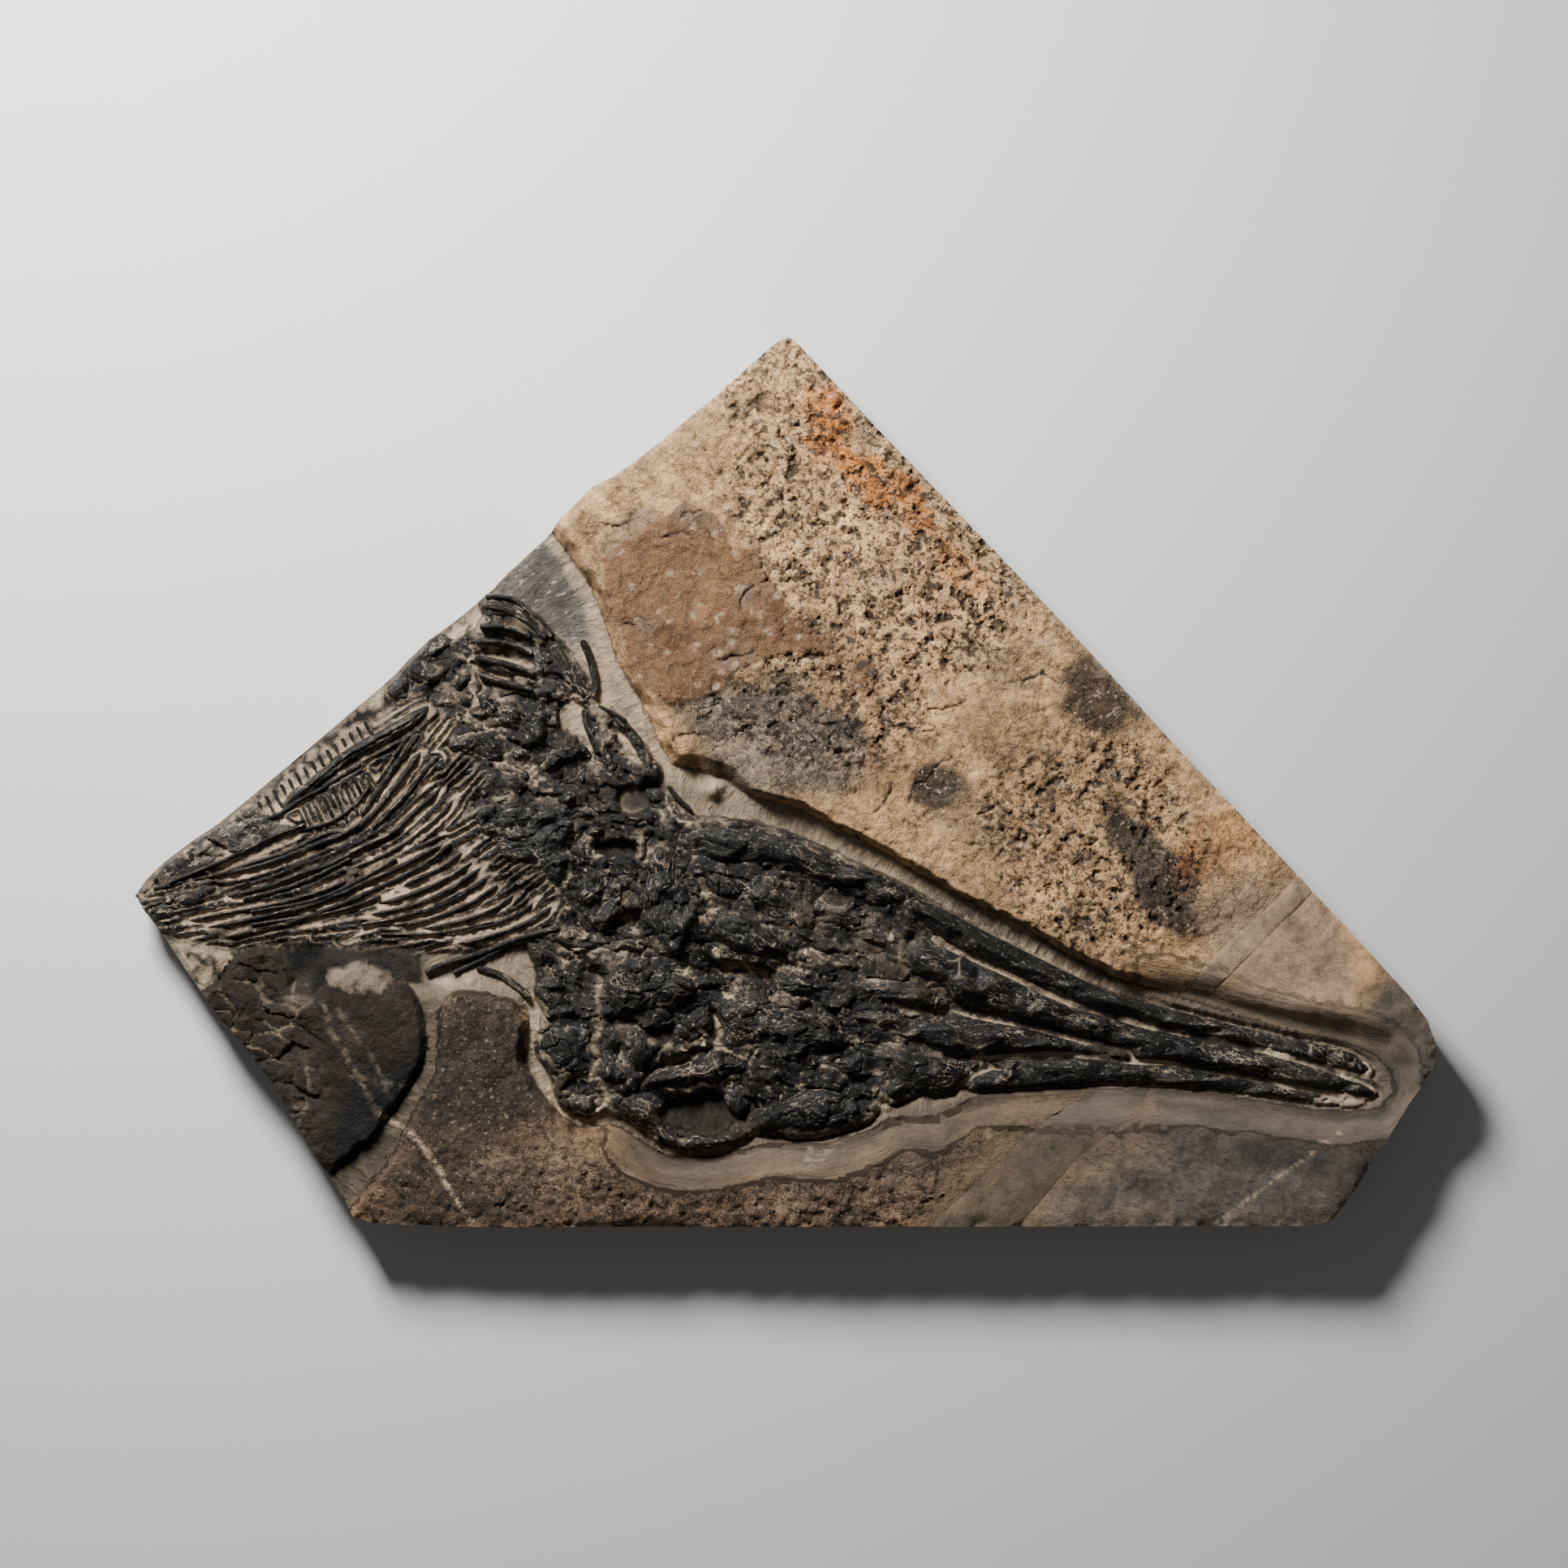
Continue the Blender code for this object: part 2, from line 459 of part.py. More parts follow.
def build_cheek():
    bone("cheek_fan", [
        (-45, -79), (-36, -76.5), (-28, -74), (-21, -78.5), (-12, -85.5), (-5, -92.5), (1, -97.5),
        (11, -103.5), (25, -110), (35, -114), (28, -116.5), (15, -112.5), (5, -109.5), (-8, -110.5),
        (-20, -109.5), (-30, -107), (-38, -102), (-44, -98), (-48, -94), (-47, -87)],
        16.5, lumps=[(-30, -92, 10, 2.0), (-10, -100, 8, 1.4)],
        ridges=[([(-38, -82), (-22, -92), (-5, -102), (12, -108)], 1.8, 3.0),
                ([(-42, -92), (-30, -100), (-15, -105)], 1.4, 3.0)])
    bone("post_eye_plate", [
        (-52, -62), (-49, -54), (-38, -52.5), (-28, -52.5), (-22, -56), (-12, -55.5), (-4, -55), (2, -60),
        (8, -66), (6, -76), (9, -84), (18, -91.5), (28, -96.5), (37, -104), (36, -109.5), (26, -107.5),
        (12, -101), (2, -95), (-4, -90), (-12, -83), (-22, -76), (-28, -71.5), (-36, -74),
        (-45, -76.5), (-47, -70)],
        13.5, lumps=[(-40, -62, 8, 2.0), (-24, -66, 6, -2.5), (-16, -70, 5, 2.2), (20, -98, 7, -3.0),
                     (-2, -72, 6, -2.5)],
        ridges=[([(-14, -58), (-13, -70), (-9, -82)], 2.5, 2.5),
                ([(-46, -58), (-40, -68), (-32, -70)], 1.8, 2.5)])
    bone("eye_ring_front", [
        (13, -67.5), (22, -68), (35, -72), (50, -77.5), (59, -82), (66, -89), (68, -98), (60, -96.5),
        (50, -95), (40, -92), (30, -88), (20, -82), (12, -77)],
        8.5, step=8, lumps=[(35, -80, 7, 1.5), (52, -87, 6, -1.5)])
    bone("cheek_ridge", [
        (-7, -127), (-9, -119), (-3, -114.5), (8, -115.5), (18, -119), (30, -120.5), (45, -119.5),
        (60, -119.5), (72, -121), (86, -123.5), (94, -129), (102, -137), (98, -141.5), (85, -141.5),
        (70, -138.5), (55, -135), (40, -137), (22, -138), (8, -136), (-2, -134)],
        13.0, lumps=[(10, -124, 7, 2.4), (32, -129, 7, -3.5), (55, -127, 8, -2.5), (80, -131, 8, 2.6),
                     (-2, -122, 5, 1.5)],
        ridges=[([(5, -132), (30, -135), (60, -132), (88, -137)], 2.0, 3.0)])
    bone("jaw_joint_plate", [
        (-48, -134.5), (-42, -131.5), (-34, -131.5), (-24, -128.5), (-12, -129), (-4, -136), (8, -138.5),
        (20, -141), (33, -144), (36, -149), (40, -155), (38, -164), (25, -166.5), (15, -169.5),
        (5, -171), (-3, -173.5), (-10, -170.5), (-15, -165), (-21, -164), (-28, -165.5), (-34, -160),
        (-38, -153), (-42, -144)],
        15.5, lumps=[(-28, -146, 10, 2.5), (10, -150, 12, 1.8), (-4, -163, 5, -5.0), (28, -156, 7, 1.2),
                     (-5, -141, 6, -2.0)],
        ridges=[([(-12, -161), (-4, -164), (4, -166)], -4.0, 2.4),
                ([(-10, -167), (0, -170), (8, -168)], 2.5, 2.4)])
    bone("rear_jaw_plate", [
        (-90, -189), (-85, -180), (-77, -176.5), (-62, -173), (-50, -167), (-44, -163.5), (-36, -163),
        (-30, -168), (-22, -169), (-18, -175), (-14, -181), (-22, -182), (-34, -183.5), (-40, -189),
        (-48, -187.5), (-60, -189.5), (-75, -190.5)],
        15.0, lumps=[(-65, -181, 9, 2.6), (-40, -176, 7, 2.0), (-25, -177, 5, -2.5)],
        ridges=[([(-82, -184), (-62, -180), (-44, -176), (-28, -174)], 2.0, 3.0)])
    bone("hollow_rim", [
        (-112, -191), (-104, -193), (-94, -193), (-84, -193), (-79, -198), (-77, -207), (-72, -215),
        (-65, -220), (-55, -218.5), (-45, -219), (-35, -218), (-28, -213.5), (-22, -216.5), (-24, -221),
        (-40, -225), (-55, -228), (-66, -227), (-76, -222), (-86, -215), (-95, -209.5), (-102, -203),
        (-110, -199)],
        12.0, step=8, lumps=[(-97, -199, 7, 2.5), (-85, -203, 6, 2.0)],
        ridges=[([(-72, -220), (-55, -222.5), (-38, -221.5)], 2.0, 2.5)])
    bone("hollow_strut", [
        (-39, -191.5), (-33, -186.5), (-26, -184.5), (-20, -186), (-17, -193), (-19, -200), (-24, -206),
        (-29, -207), (-36, -200)],
        13.0, step=7, lumps=[(-26, -194, 5, -4.0), (-33, -197, 4, 2.0)])
    bone("cheek_lumps", [
        (-112, -122), (-110.5, -115), (-104, -111), (-98, -110.5), (-92, -113.5), (-84, -110.5),
        (-77, -112.5), (-72, -116.5), (-66, -115), (-60, -117.5), (-50, -118.5), (-45, -120),
        (-40, -117.5), (-34.5, -122), (-38, -125.5), (-46, -129), (-54, -133), (-62, -137.5), (-68, -141.5),
        (-78, -141), (-90, -142), (-97, -145.5), (-105, -147), (-109.5, -140), (-113, -131)],
        16.0, lumps=[(-102, -119, 7, 2.5), (-99, -133, 8, 2.2), (-84, -117, 5, 1.8), (-89, -124, 4, -3.5),
                     (-72, -124, 6, 1.5), (-76, -131, 4, -3.0), (-62, -128, 6, 1.6), (-45, -123, 5, 0.8),
                     (-53, -124, 4, -3.0)],
        ridges=[([(-92, -115), (-89, -121), (-83, -124), (-79, -133), (-84, -139)], -3.5, 2.2)])


def build_braincase():
    bone("braincase_mass", [
        (-83, -40), (-77, -37), (-72, -41), (-66, -49), (-58, -53), (-59, -58), (-56, -64.5), (-51, -71),
        (-49.5, -79), (-51, -88), (-53, -96), (-58, -101), (-57, -108), (-63, -111), (-72, -109),
        (-79, -105.5), (-80, -100), (-87, -95.5), (-91.5, -90.5), (-89.5, -85), (-90, -81), (-92.5, -77),
        (-90, -68), (-88, -62), (-88, -56), (-89, -51), (-85, -46)],
        17.0, lumps=[(-76, -44, 6, 1.8), (-64, -54, 5, -3.0), (-78, -66, 8, 2.4), (-84, -72, 5, 1.0),
                     (-68, -78, 5, -2.0), (-62, -88, 9, 2.2), (-80, -90, 7, -3.5), (-68, -103, 6, 1.0)],
        ridges=[([(-86, -58), (-78, -55), (-70, -58), (-62, -60)], -3.0, 2.2),
                ([(-88, -76), (-80, -77), (-70, -72), (-63, -66)], -2.6, 2.2)])
    bone("temple_rim", [
        (-110.5, -32.5), (-111, -27), (-119, -27), (-124.5, -33), (-127.5, -41), (-124.5, -48),
        (-118, -50.5), (-109, -51.5), (-103, -53), (-97, -50), (-101, -48.8), (-108, -48),
        (-116, -46.3), (-121, -43.5), (-122.5, -39), (-118, -34.5)],
        13.5, step=7,
        ridges=[([(-114, -29.7), (-119.5, -31.5), (-124, -37), (-125, -41), (-122.5, -45.7), (-117, -48.4),
                  (-109, -49.7), (-103, -50.8)], 3.0, 2.0)])
    bone("nape_mass", [
        (-128, -58), (-124, -53.5), (-116, -52.5), (-109, -54), (-103, -56), (-97, -52.5), (-92.5, -54),
        (-91.5, -59), (-93, -65), (-97, -69), (-98, -75), (-95, -79.5), (-99, -82.5), (-103.5, -87),
        (-107, -92), (-113, -94.5), (-118, -91), (-126, -84), (-130, -78), (-132, -72), (-131, -66)],
        13.5, lumps=[(-118, -58, 5, 2.0), (-121, -69, 7, 2.6), (-103, -65, 6, 2.8), (-110, -84, 6, 2.0),
                     (-110, -62, 3, -3.5), (-120, -78, 4, -3.5), (-111, -73, 3, -3.5)],
        ridges=[([(-129, -61), (-120, -62), (-112, -64), (-110, -72), (-116, -77)], -3.2, 2.0)])
    bone("throat_bar", [
        (-141, -94.5), (-135, -95), (-122, -97), (-112, -97.5), (-100, -96.5), (-93, -94.5),
        (-89, -98.5), (-83, -102), (-82, -106.5), (-90, -107), (-97, -106.5), (-105, -108),
        (-118, -107), (-130, -104), (-139.5, -100.5)],
        12.0, step=8, ridges=[([(-136, -97), (-118, -99), (-98, -99)], 2.4, 2.4)])
    bone("neck_block", [
        (-159, -103), (-151, -101), (-143, -101), (-141, -106), (-136, -112), (-136.5, -116),
        (-142, -117.5), (-150, -116), (-155, -110)],
        13.0, step=8, lumps=[(-148, -108, 6, 2.0)])
    bone("side_bars", [
        (-152, -121.5), (-140, -119.5), (-127, -120.5), (-125.5, -126), (-129, -131), (-125, -134.5),
        (-118, -135), (-114.5, -134), (-111.5, -141), (-107, -148.7), (-110, -150), (-116, -148.5),
        (-122, -147.5), (-130, -147), (-142, -148), (-149, -147), (-148, -142), (-149, -138),
        (-154, -131), (-153.5, -126)],
        11.5, step=8, lumps=[(-140, -125, 5, 2.4), (-147, -133, 5, 1.6), (-114, -144, 4, 2.2)],
        ridges=[([(-148, -129), (-138, -130), (-131, -127)], -3.4, 2.0),
                ([(-145, -145), (-132, -141), (-118, -138)], 2.6, 2.4),
                ([(-146, -139), (-134, -136), (-125, -138)], -2.8, 2.0)])
    bone("lobed_plate_upper", [
        (-153, -159), (-150, -153.5), (-143, -150), (-132, -149), (-122, -149.5), (-117, -151.5),
        (-117, -160), (-118, -168), (-118.5, -176), (-117.5, -182.5), (-122, -184), (-132, -182.5),
        (-142, -178.5), (-149, -173), (-154, -166)],
        13.0, lumps=[(-136, -164, 12, 2.5), (-122, -156, 6, -2.0)],
        ridges=[([(-142, -155), (-130, -154), (-120, -154)], 1.8, 2.5)])
    bone("lobed_plate_lower", [
        (-142, -187), (-135, -187.5), (-128, -189), (-120, -190.5), (-114, -192), (-114, -199),
        (-118, -204), (-121, -208), (-129, -205.5), (-137, -199.5), (-142, -193)],
        10.0, step=8, lumps=[(-130, -192, 5, -3.0), (-124, -199, 6, 1.8)])
    bone("rear_cheek_mass", [
        (-114.5, -154), (-110, -152.5), (-104, -151), (-97, -149.5), (-91, -148.5), (-86, -151),
        (-81, -158), (-79, -165), (-80, -172), (-85, -178), (-92, -181.5), (-93, -187), (-97, -190.5),
        (-104, -190.5), (-112, -188.5), (-115.5, -183), (-115.5, -176), (-115.5, -168), (-114.5, -160)],
        13.0, lumps=[(-90, -165, 8, 3.4), (-106, -158, 5, 1.5), (-108, -180, 7, 1.8), (-100, -160, 4, -3.0),
                     (-104, -169, 5, -3.2)],
        ridges=[([(-112, -163), (-104, -168), (-98, -176), (-96, -184)], -3.0, 2.4)])
    bone("ossicles", [
        (-67, -148), (-60, -145), (-55, -141), (-49, -137), (-45, -143), (-43, -151), (-45, -158),
        (-52, -160.5), (-58, -163), (-64, -166), (-71, -168), (-76, -164), (-73, -160.5), (-67, -158),
        (-69, -154)],
        11.5, step=6.5, lumps=[(-62, -152, 4.5, 3.0), (-50, -148, 5, 2.0), (-56, -155, 3, -3.0),
                               (-68, -164, 4, 1.5)])


def build_neck():
    bone("edge_block", [
        (-214, 91), (-209, 90), (-204, 88), (-202, 82), (-204, 77), (-206, 72.5), (-205.5, 67.5),
        (-212, 64), (-220, 64), (-224, 67), (-228, 70), (-231.5, 73.5), (-225, 81.5), (-219, 87)],
        13.0, step=8, lumps=[(-216, 80, 8, 1.5), (-213, 69, 5, -2.0)],
        ridges=[([(-226, 74), (-216, 72), (-208, 76)], -2.0, 2.0)])
    bone("smooth_block", [
        (-200, 69.5), (-193.5, 69.5), (-191.5, 63), (-195, 57), (-199, 51.5), (-205, 52), (-212, 45.5),
        (-215, 49), (-211, 56), (-206.5, 62), (-203, 66)],
        13.5, step=8, lumps=[(-199, 61, 6, 2.0)])
    bone("edge_vertebra", [
        (-246, 55.5), (-243.5, 60.5), (-239, 64.5), (-233, 65), (-230, 62.5), (-231, 57), (-229, 52.5),
        (-233, 50), (-239, 50), (-243, 52)],
        10.0, step=7, lumps=[(-237, 60, 4, 2.0), (-235, 53, 3, -2.0)])
    bone("vertebra_row_a", [
        (-190, 58.5), (-184.5, 58.5), (-181, 55), (-176, 52), (-170, 54), (-164, 50.5), (-157, 46.5),
        (-151, 48), (-147, 45), (-142, 43), (-141.5, 38), (-144, 31), (-146.5, 25), (-150.5, 20.5),
        (-155, 22.7), (-160, 26.7), (-165, 29.7), (-170, 32), (-177, 35), (-184, 35.5), (-190, 35.5),
        (-195.5, 38.5), (-196, 44), (-190, 48), (-191.5, 54)],
        13.5, lumps=[(-186, 43, 8, 2.6), (-184, 54, 4, 1.0), (-167, 43, 8, 2.8), (-149, 42, 5, 2.0),
                     (-152, 28, 6, 1.6), (-176, 43, 3, -3.5), (-158, 38, 3, -3.5)],
        ridges=[([(-176, 50), (-174, 44), (-178, 37)], -3.2, 2.0),
                ([(-155, 46), (-158, 39), (-163, 32)], -3.2, 2.0),
                ([(-156, 35), (-149, 34), (-145, 31)], -2.8, 2.0)])
    bone("vertebra_row_b", [
        (-213, 24), (-203, 30), (-197, 33), (-190, 32.5), (-187, 29), (-180, 30), (-174, 28),
        (-170.5, 24), (-162, 24.5), (-156, 20.5), (-154.5, 17), (-157.5, 13.5), (-163, 10.8), (-169, 10.5),
        (-173, 11.3), (-184, 11.3), (-188, 14.5), (-196, 15.5), (-205, 17.5)],
        11.5, step=8, lumps=[(-197, 25, 7, 2.6), (-180, 25, 5, 2.4), (-179, 16, 5, 1.8), (-163, 18, 6, 2.4),
                             (-188, 22, 3, -3.2), (-171, 18, 3, -3.2)],
        ridges=[([(-188, 28), (-188, 21), (-191, 16)], -3.0, 2.0),
                ([(-171, 26), (-171, 18), (-168, 12)], -3.0, 2.0)])
    bone("vertebra_row_c", [
        (-212, 15.5), (-203, 13.5), (-197, 12.5), (-190, 12.3), (-185, 9), (-176, 9.3), (-170, 8),
        (-165, 8.2), (-158, 10.5), (-155.5, 6), (-153, 0), (-157, -4), (-164, -3), (-170, -2.7),
        (-176, -6), (-184, -8.7), (-189.5, -6), (-189, -1), (-197, 1), (-202, 1.5), (-207, 4.5), (-214, 4.5),
        (-221, 5.5), (-223.5, 9), (-219, 13.5)],
        10.0, step=8, lumps=[(-213, 10, 6, 2.0), (-196, 7, 6, 2.0), (-179, 2, 6, 2.4), (-160, 3, 5, 2.2),
                             (-204, 8, 3, -3.0), (-187, 5, 3, -3.0), (-168, 3, 3, -3.0)])
    bone("shoulder_plate_a", [
        (-149, 16.5), (-142, 23.5), (-134, 29.5), (-128, 27), (-122.5, 22), (-119, 17), (-120, 15.5),
        (-126.5, 14.8), (-132, 9.5), (-137.5, 3.5), (-141, 2.5), (-147, 5), (-151, 8.5), (-153, 12.5)],
        13.0, step=8, lumps=[(-133, 21, 6, 2.0), (-143, 13, 6, 1.8), (-138, 8, 4, -3.0)])
    bone("shoulder_plate_b", [
        (-124, 12), (-117, 7), (-110.5, 0), (-107, -7), (-103.5, -14), (-103.5, -18), (-111, -17.5),
        (-116, -12.5), (-122.5, -9.5), (-124, -5), (-128, -1.5), (-132, 0.5), (-135, 2), (-130, 7)],
        11.5, step=8, lumps=[(-119, 0, 7, 2.4), (-110, -12, 5, -1.5)])
    bone("fin_mass", [
        (-190, -15), (-180, -11.5), (-168, -8), (-158, -9), (-150, -11.5), (-143, -9), (-139, -5.5),
        (-133, -3), (-128, -5), (-126, -9), (-127, -14), (-124, -13), (-118, -16), (-113, -20),
        (-113, -24.5), (-121, -25), (-126, -31), (-130.5, -41), (-128, -49), (-131, -55), (-130, -60),
        (-134, -66), (-143, -65.5), (-153, -63.5), (-164, -58), (-173, -50), (-180, -41.5),
        (-186, -34.5), (-191, -27), (-195, -21)],
        13.0, step=10,
        lumps=[(-133, -9, 5, 2.8), (-120, -19, 4, 1.6), (-133, -29, 5, 1.6), (-150, -45, 8, 1.2),
               (-140, -60, 6, 0.8), (-141, -16, 4, -3.5), (-131, -20, 3, -3.5)],
        ridges=[([(-186, -18), (-170, -20), (-155, -22), (-143, -20)], 2.2, 2.6),
                ([(-182, -25), (-165, -27), (-148, -27), (-138, -24)], -2.8, 2.2),
                ([(-184, -29), (-166, -33), (-150, -36), (-138, -34)], 2.4, 2.6),
                ([(-174, -43), (-156, -46), (-138, -50)], 1.8, 3.0),
                ([(-172, -38), (-155, -41), (-138, -42)], -2.6, 2.2),
                ([(-165, -53), (-150, -56), (-134, -57)], -4.0, 2.6)])
    bone("claw_bone_outer", [
        (-116.5, 47), (-110, 45), (-102, 41), (-95, 35), (-89, 28), (-85, 20), (-82, 13), (-77.5, 9.5),
        (-76, 6), (-79, 1), (-84, -1), (-91, -3.5), (-95, -1), (-94, 4), (-92, 10), (-91.5, 16), (-94, 22),
        (-99, 30), (-106, 36), (-113, 41), (-117.5, 44)],
        9.5, step=8, lumps=[(-86, 5, 6, 2.4)],
        ridges=[([(-112, 43), (-100, 36), (-91, 26), (-87, 14)], 1.6, 2.5)])
    bone("claw_bone_inner", [
        (-121, 44.5), (-118, 42.5), (-112, 37.5), (-108, 31.5), (-106, 26), (-105, 19), (-102, 13),
        (-99, 8), (-100, 4), (-105, 3), (-109, 6), (-114, 10), (-117, 13), (-114, 18), (-113, 24), (-114, 30),
        (-118, 36), (-122.5, 41)],
        9.0, step=7, lumps=[(-107, 9, 5, 1.8)])
    bone("small_neck_bone", [
        (-86, -3.5), (-80, -2.5), (-76, -5), (-70, -11), (-68, -14), (-71, -20), (-80, -20.3),
        (-83, -14), (-86, -8)],
        8.0, step=7)


def build_edge_bones():
    bone("corner_rib_bundle", [
        (-385, -52.5), (-368, -40), (-350, -28), (-335, -18), (-326, -15), (-318, -17), (-306, -24),
        (-298, -29), (-300, -34), (-315, -41), (-335, -49), (-352, -54), (-370, -59.5), (-385, -62),
        (-391, -59)],
        7.5, step=11, colour=GREY_BONE,
        lumps=[(-324, -24, 8, 2.0)],
        ridges=[([(-382, -55), (-360, -44), (-340, -32), (-325, -25)], 1.6, 2.2),
                ([(-380, -59), (-355, -49), (-330, -39), (-308, -29)], 1.8, 2.2),
                ([(-384, -56), (-358, -46.5), (-335, -36), (-315, -27)], -2.0, 2.0)])
    bone("crushed_corner_mass", [
        (-400, -70), (-396, -65), (-385, -63.8), (-370, -61.7), (-356, -58.5), (-353, -63), (-352, -70),
        (-358, -77), (-372, -80.5), (-379, -86), (-388, -88), (-396, -78)],
        8.0, step=9, lumps=[(-380, -72, 8, 1.8), (-362, -68, 6, 1.4), (-390, -76, 5, -1.5)])
    bone("short_rib_fan", [
        (-152, 85.5), (-156, 87.5), (-162, 92.5), (-170, 97), (-176, 98.5), (-178, 96.5), (-170, 93),
        (-163, 89), (-157.5, 85.5), (-157.5, 84), (-165, 87.4), (-173, 91), (-181, 94), (-183, 92),
        (-173, 88), (-165, 84.5), (-157.5, 80.5), (-157.5, 79), (-165, 82.5), (-173, 86), (-181, 88.5),
        (-189, 89.5), (-191, 87), (-181, 84.5), (-173, 82.5), (-165, 79), (-157, 74.5), (-157, 71),
        (-165, 73), (-175, 75.5), (-184, 77), (-191, 76.5), (-192, 70.8), (-184, 69), (-175, 67),
        (-165, 64.5), (-157.5, 62), (-157, 59.5), (-165, 60), (-172, 60.5), (-179, 60), (-180, 57.5),
        (-172, 56.8), (-165, 55), (-158, 51.5), (-150, 50.5), (-143, 50), (-140.5, 54), (-141, 60),
        (-142.5, 68), (-145.5, 76), (-149.5, 81)],
        9.0, step=7, colour=GREY_BONE, lumps=[(-149, 72, 5, 1.5), (-150, 58, 5, 1.0), (-150, 65, 4, -2.5)],
        ridges=[([(-175, 96.3), (-166, 92.5), (-159, 88.3)], 1.5, 2.0),
                ([(-179, 91.8), (-170, 88.3), (-160, 84)], 1.5, 2.0),
                ([(-187, 87.7), (-175, 85), (-163, 80)], 2.0, 2.0),
                ([(-189, 74.2), (-176, 72.5), (-160, 68)], 1.5, 2.5),
                ([(-177, 58.6), (-167, 58), (-157, 55.5)], 1.5, 2.0)])
    rib("curved_rib_outer", [(-187, 109.3), (-179, 109), (-170, 106.5), (-160, 101), (-152, 94),
                             (-147, 88.5)], 8.5, 9.0, 9, start=0.7, end=0.9)
    rib("curved_rib_inner", [(-143.5, 85), (-138, 77), (-132, 67.5), (-127, 59.5), (-121.5, 51)],
        9.5, 9.5, 8, start=0.8, end=0.8)


LONG_RIBS = [
    [(-313, -17), (-290, 0), (-270, 16), (-250, 27), (-233, 37), (-218, 47)],
    [(-350, -58), (-322, -51), (-300, -43), (-285, -37), (-270, -31), (-255, -20), (-245, -8),
     (-237, 2), (-230, 12), (-223, 21)],
    [(-346, -71), (-320, -65), (-300, -57), (-280, -50), (-260, -40), (-243, -32), (-232, -22),
     (-220, -11), (-211, -2)],
    [(-270, -54), (-258, -50), (-248, -45.5), (-235, -38), (-220, -27), (-210, -18), (-202, -6)],
    [(-372, -86), (-345, -81), (-320, -76.7), (-300, -71.5), (-282, -66), (-267, -59)],
]
LONG_RIB_SIZES = [(10.5, 9.5), (6.5, 8.0), (5.5, 7.5), (4.2, 6.5), (4.8, 7.0)]

FAN_RIBS = [
    [(-208, -36), (-225, -45.5), (-240, -53.5), (-260, -62), (-285, -73), (-310, -80), (-335, -86),
     (-358, -89.5)],
    [(-206, -42), (-215, -48), (-232, -56), (-250, -64.5), (-275, -75.5), (-295, -83), (-310, -87.5),
     (-330, -92), (-349, -96)],
    [(-196, -41), (-210, -51.5), (-224, -58.5), (-238, -65)],
    [(-191, -47), (-205, -57.5), (-222, -66), (-238, -71.5), (-252, -75)],
    [(-184, -49.5), (-200, -61.5), (-215, -70), (-235, -77.5), (-260, -82.5)],
    [(-179, -55), (-196, -67.5), (-212, -75.5), (-232, -82.5)],
    [(-173, -60), (-190, -73), (-208, -80.8), (-225, -86), (-245, -88.5)],
    [(-163, -65.5), (-178, -77.5), (-196, -84.5), (-212, -88.5), (-228, -91)],
    [(-152, -69.5), (-160, -78.5), (-176, -86.5), (-195, -91.2), (-215, -95)],
    [(-140, -73), (-152, -83), (-168, -90.5), (-186, -96.5), (-206, -100.5)],
]
FAN_RIB_SIZES = [(4.8, 7.5), (4.6, 7.0), (4.6, 7.5), (4.6, 7.5), (4.6, 7.5), (4.4, 7.0), (4.4, 7.5),
                 (4.4, 7.5), (4.4, 7.5), (5.0, 8.0)]


def build_ribs():
    for i, (path, (width, height)) in enumerate(zip(LONG_RIBS, LONG_RIB_SIZES), 1):
        rib(f"long_rib_{i}", path, width, height, max(8, 2 * len(path) - 1))
    for i, (path, (width, height)) in enumerate(zip(FAN_RIBS, FAN_RIB_SIZES), 1):
        rib(f"fan_rib_{i:02d}", path, width, height, max(8, 2 * len(path) - 2))


for old in list(bpy.data.objects):
    bpy.data.objects.remove(old, do_unlink=True)
build_stones()
build_jaws()
build_cheek()
build_braincase()
build_neck()
build_edge_bones()
build_ribs()
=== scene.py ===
import math
from types import SimpleNamespace
import bpy
import bmesh
import numpy as np
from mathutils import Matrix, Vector
from mathutils.bvhtree import BVHTree


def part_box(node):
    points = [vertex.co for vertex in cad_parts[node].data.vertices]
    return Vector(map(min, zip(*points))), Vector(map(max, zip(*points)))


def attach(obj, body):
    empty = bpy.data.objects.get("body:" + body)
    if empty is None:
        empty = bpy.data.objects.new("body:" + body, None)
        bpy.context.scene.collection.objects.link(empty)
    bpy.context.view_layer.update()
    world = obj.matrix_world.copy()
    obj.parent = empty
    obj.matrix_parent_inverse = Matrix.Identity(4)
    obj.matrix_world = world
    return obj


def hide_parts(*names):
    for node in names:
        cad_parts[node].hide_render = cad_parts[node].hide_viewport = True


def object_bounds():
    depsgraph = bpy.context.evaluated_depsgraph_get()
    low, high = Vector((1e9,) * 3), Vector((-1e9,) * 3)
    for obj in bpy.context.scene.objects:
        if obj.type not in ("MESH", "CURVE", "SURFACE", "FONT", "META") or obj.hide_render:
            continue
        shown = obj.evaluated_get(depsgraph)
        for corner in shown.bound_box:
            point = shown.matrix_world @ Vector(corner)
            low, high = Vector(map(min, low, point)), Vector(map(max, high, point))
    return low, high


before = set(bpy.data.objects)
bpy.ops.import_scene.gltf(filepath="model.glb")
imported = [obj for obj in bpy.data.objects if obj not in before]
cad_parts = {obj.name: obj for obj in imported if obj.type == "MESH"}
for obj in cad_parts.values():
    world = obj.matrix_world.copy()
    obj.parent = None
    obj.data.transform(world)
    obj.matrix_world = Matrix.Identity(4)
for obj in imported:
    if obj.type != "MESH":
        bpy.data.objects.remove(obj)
cadLow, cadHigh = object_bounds()
print("stage: frame loaded", len(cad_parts), "nodes")

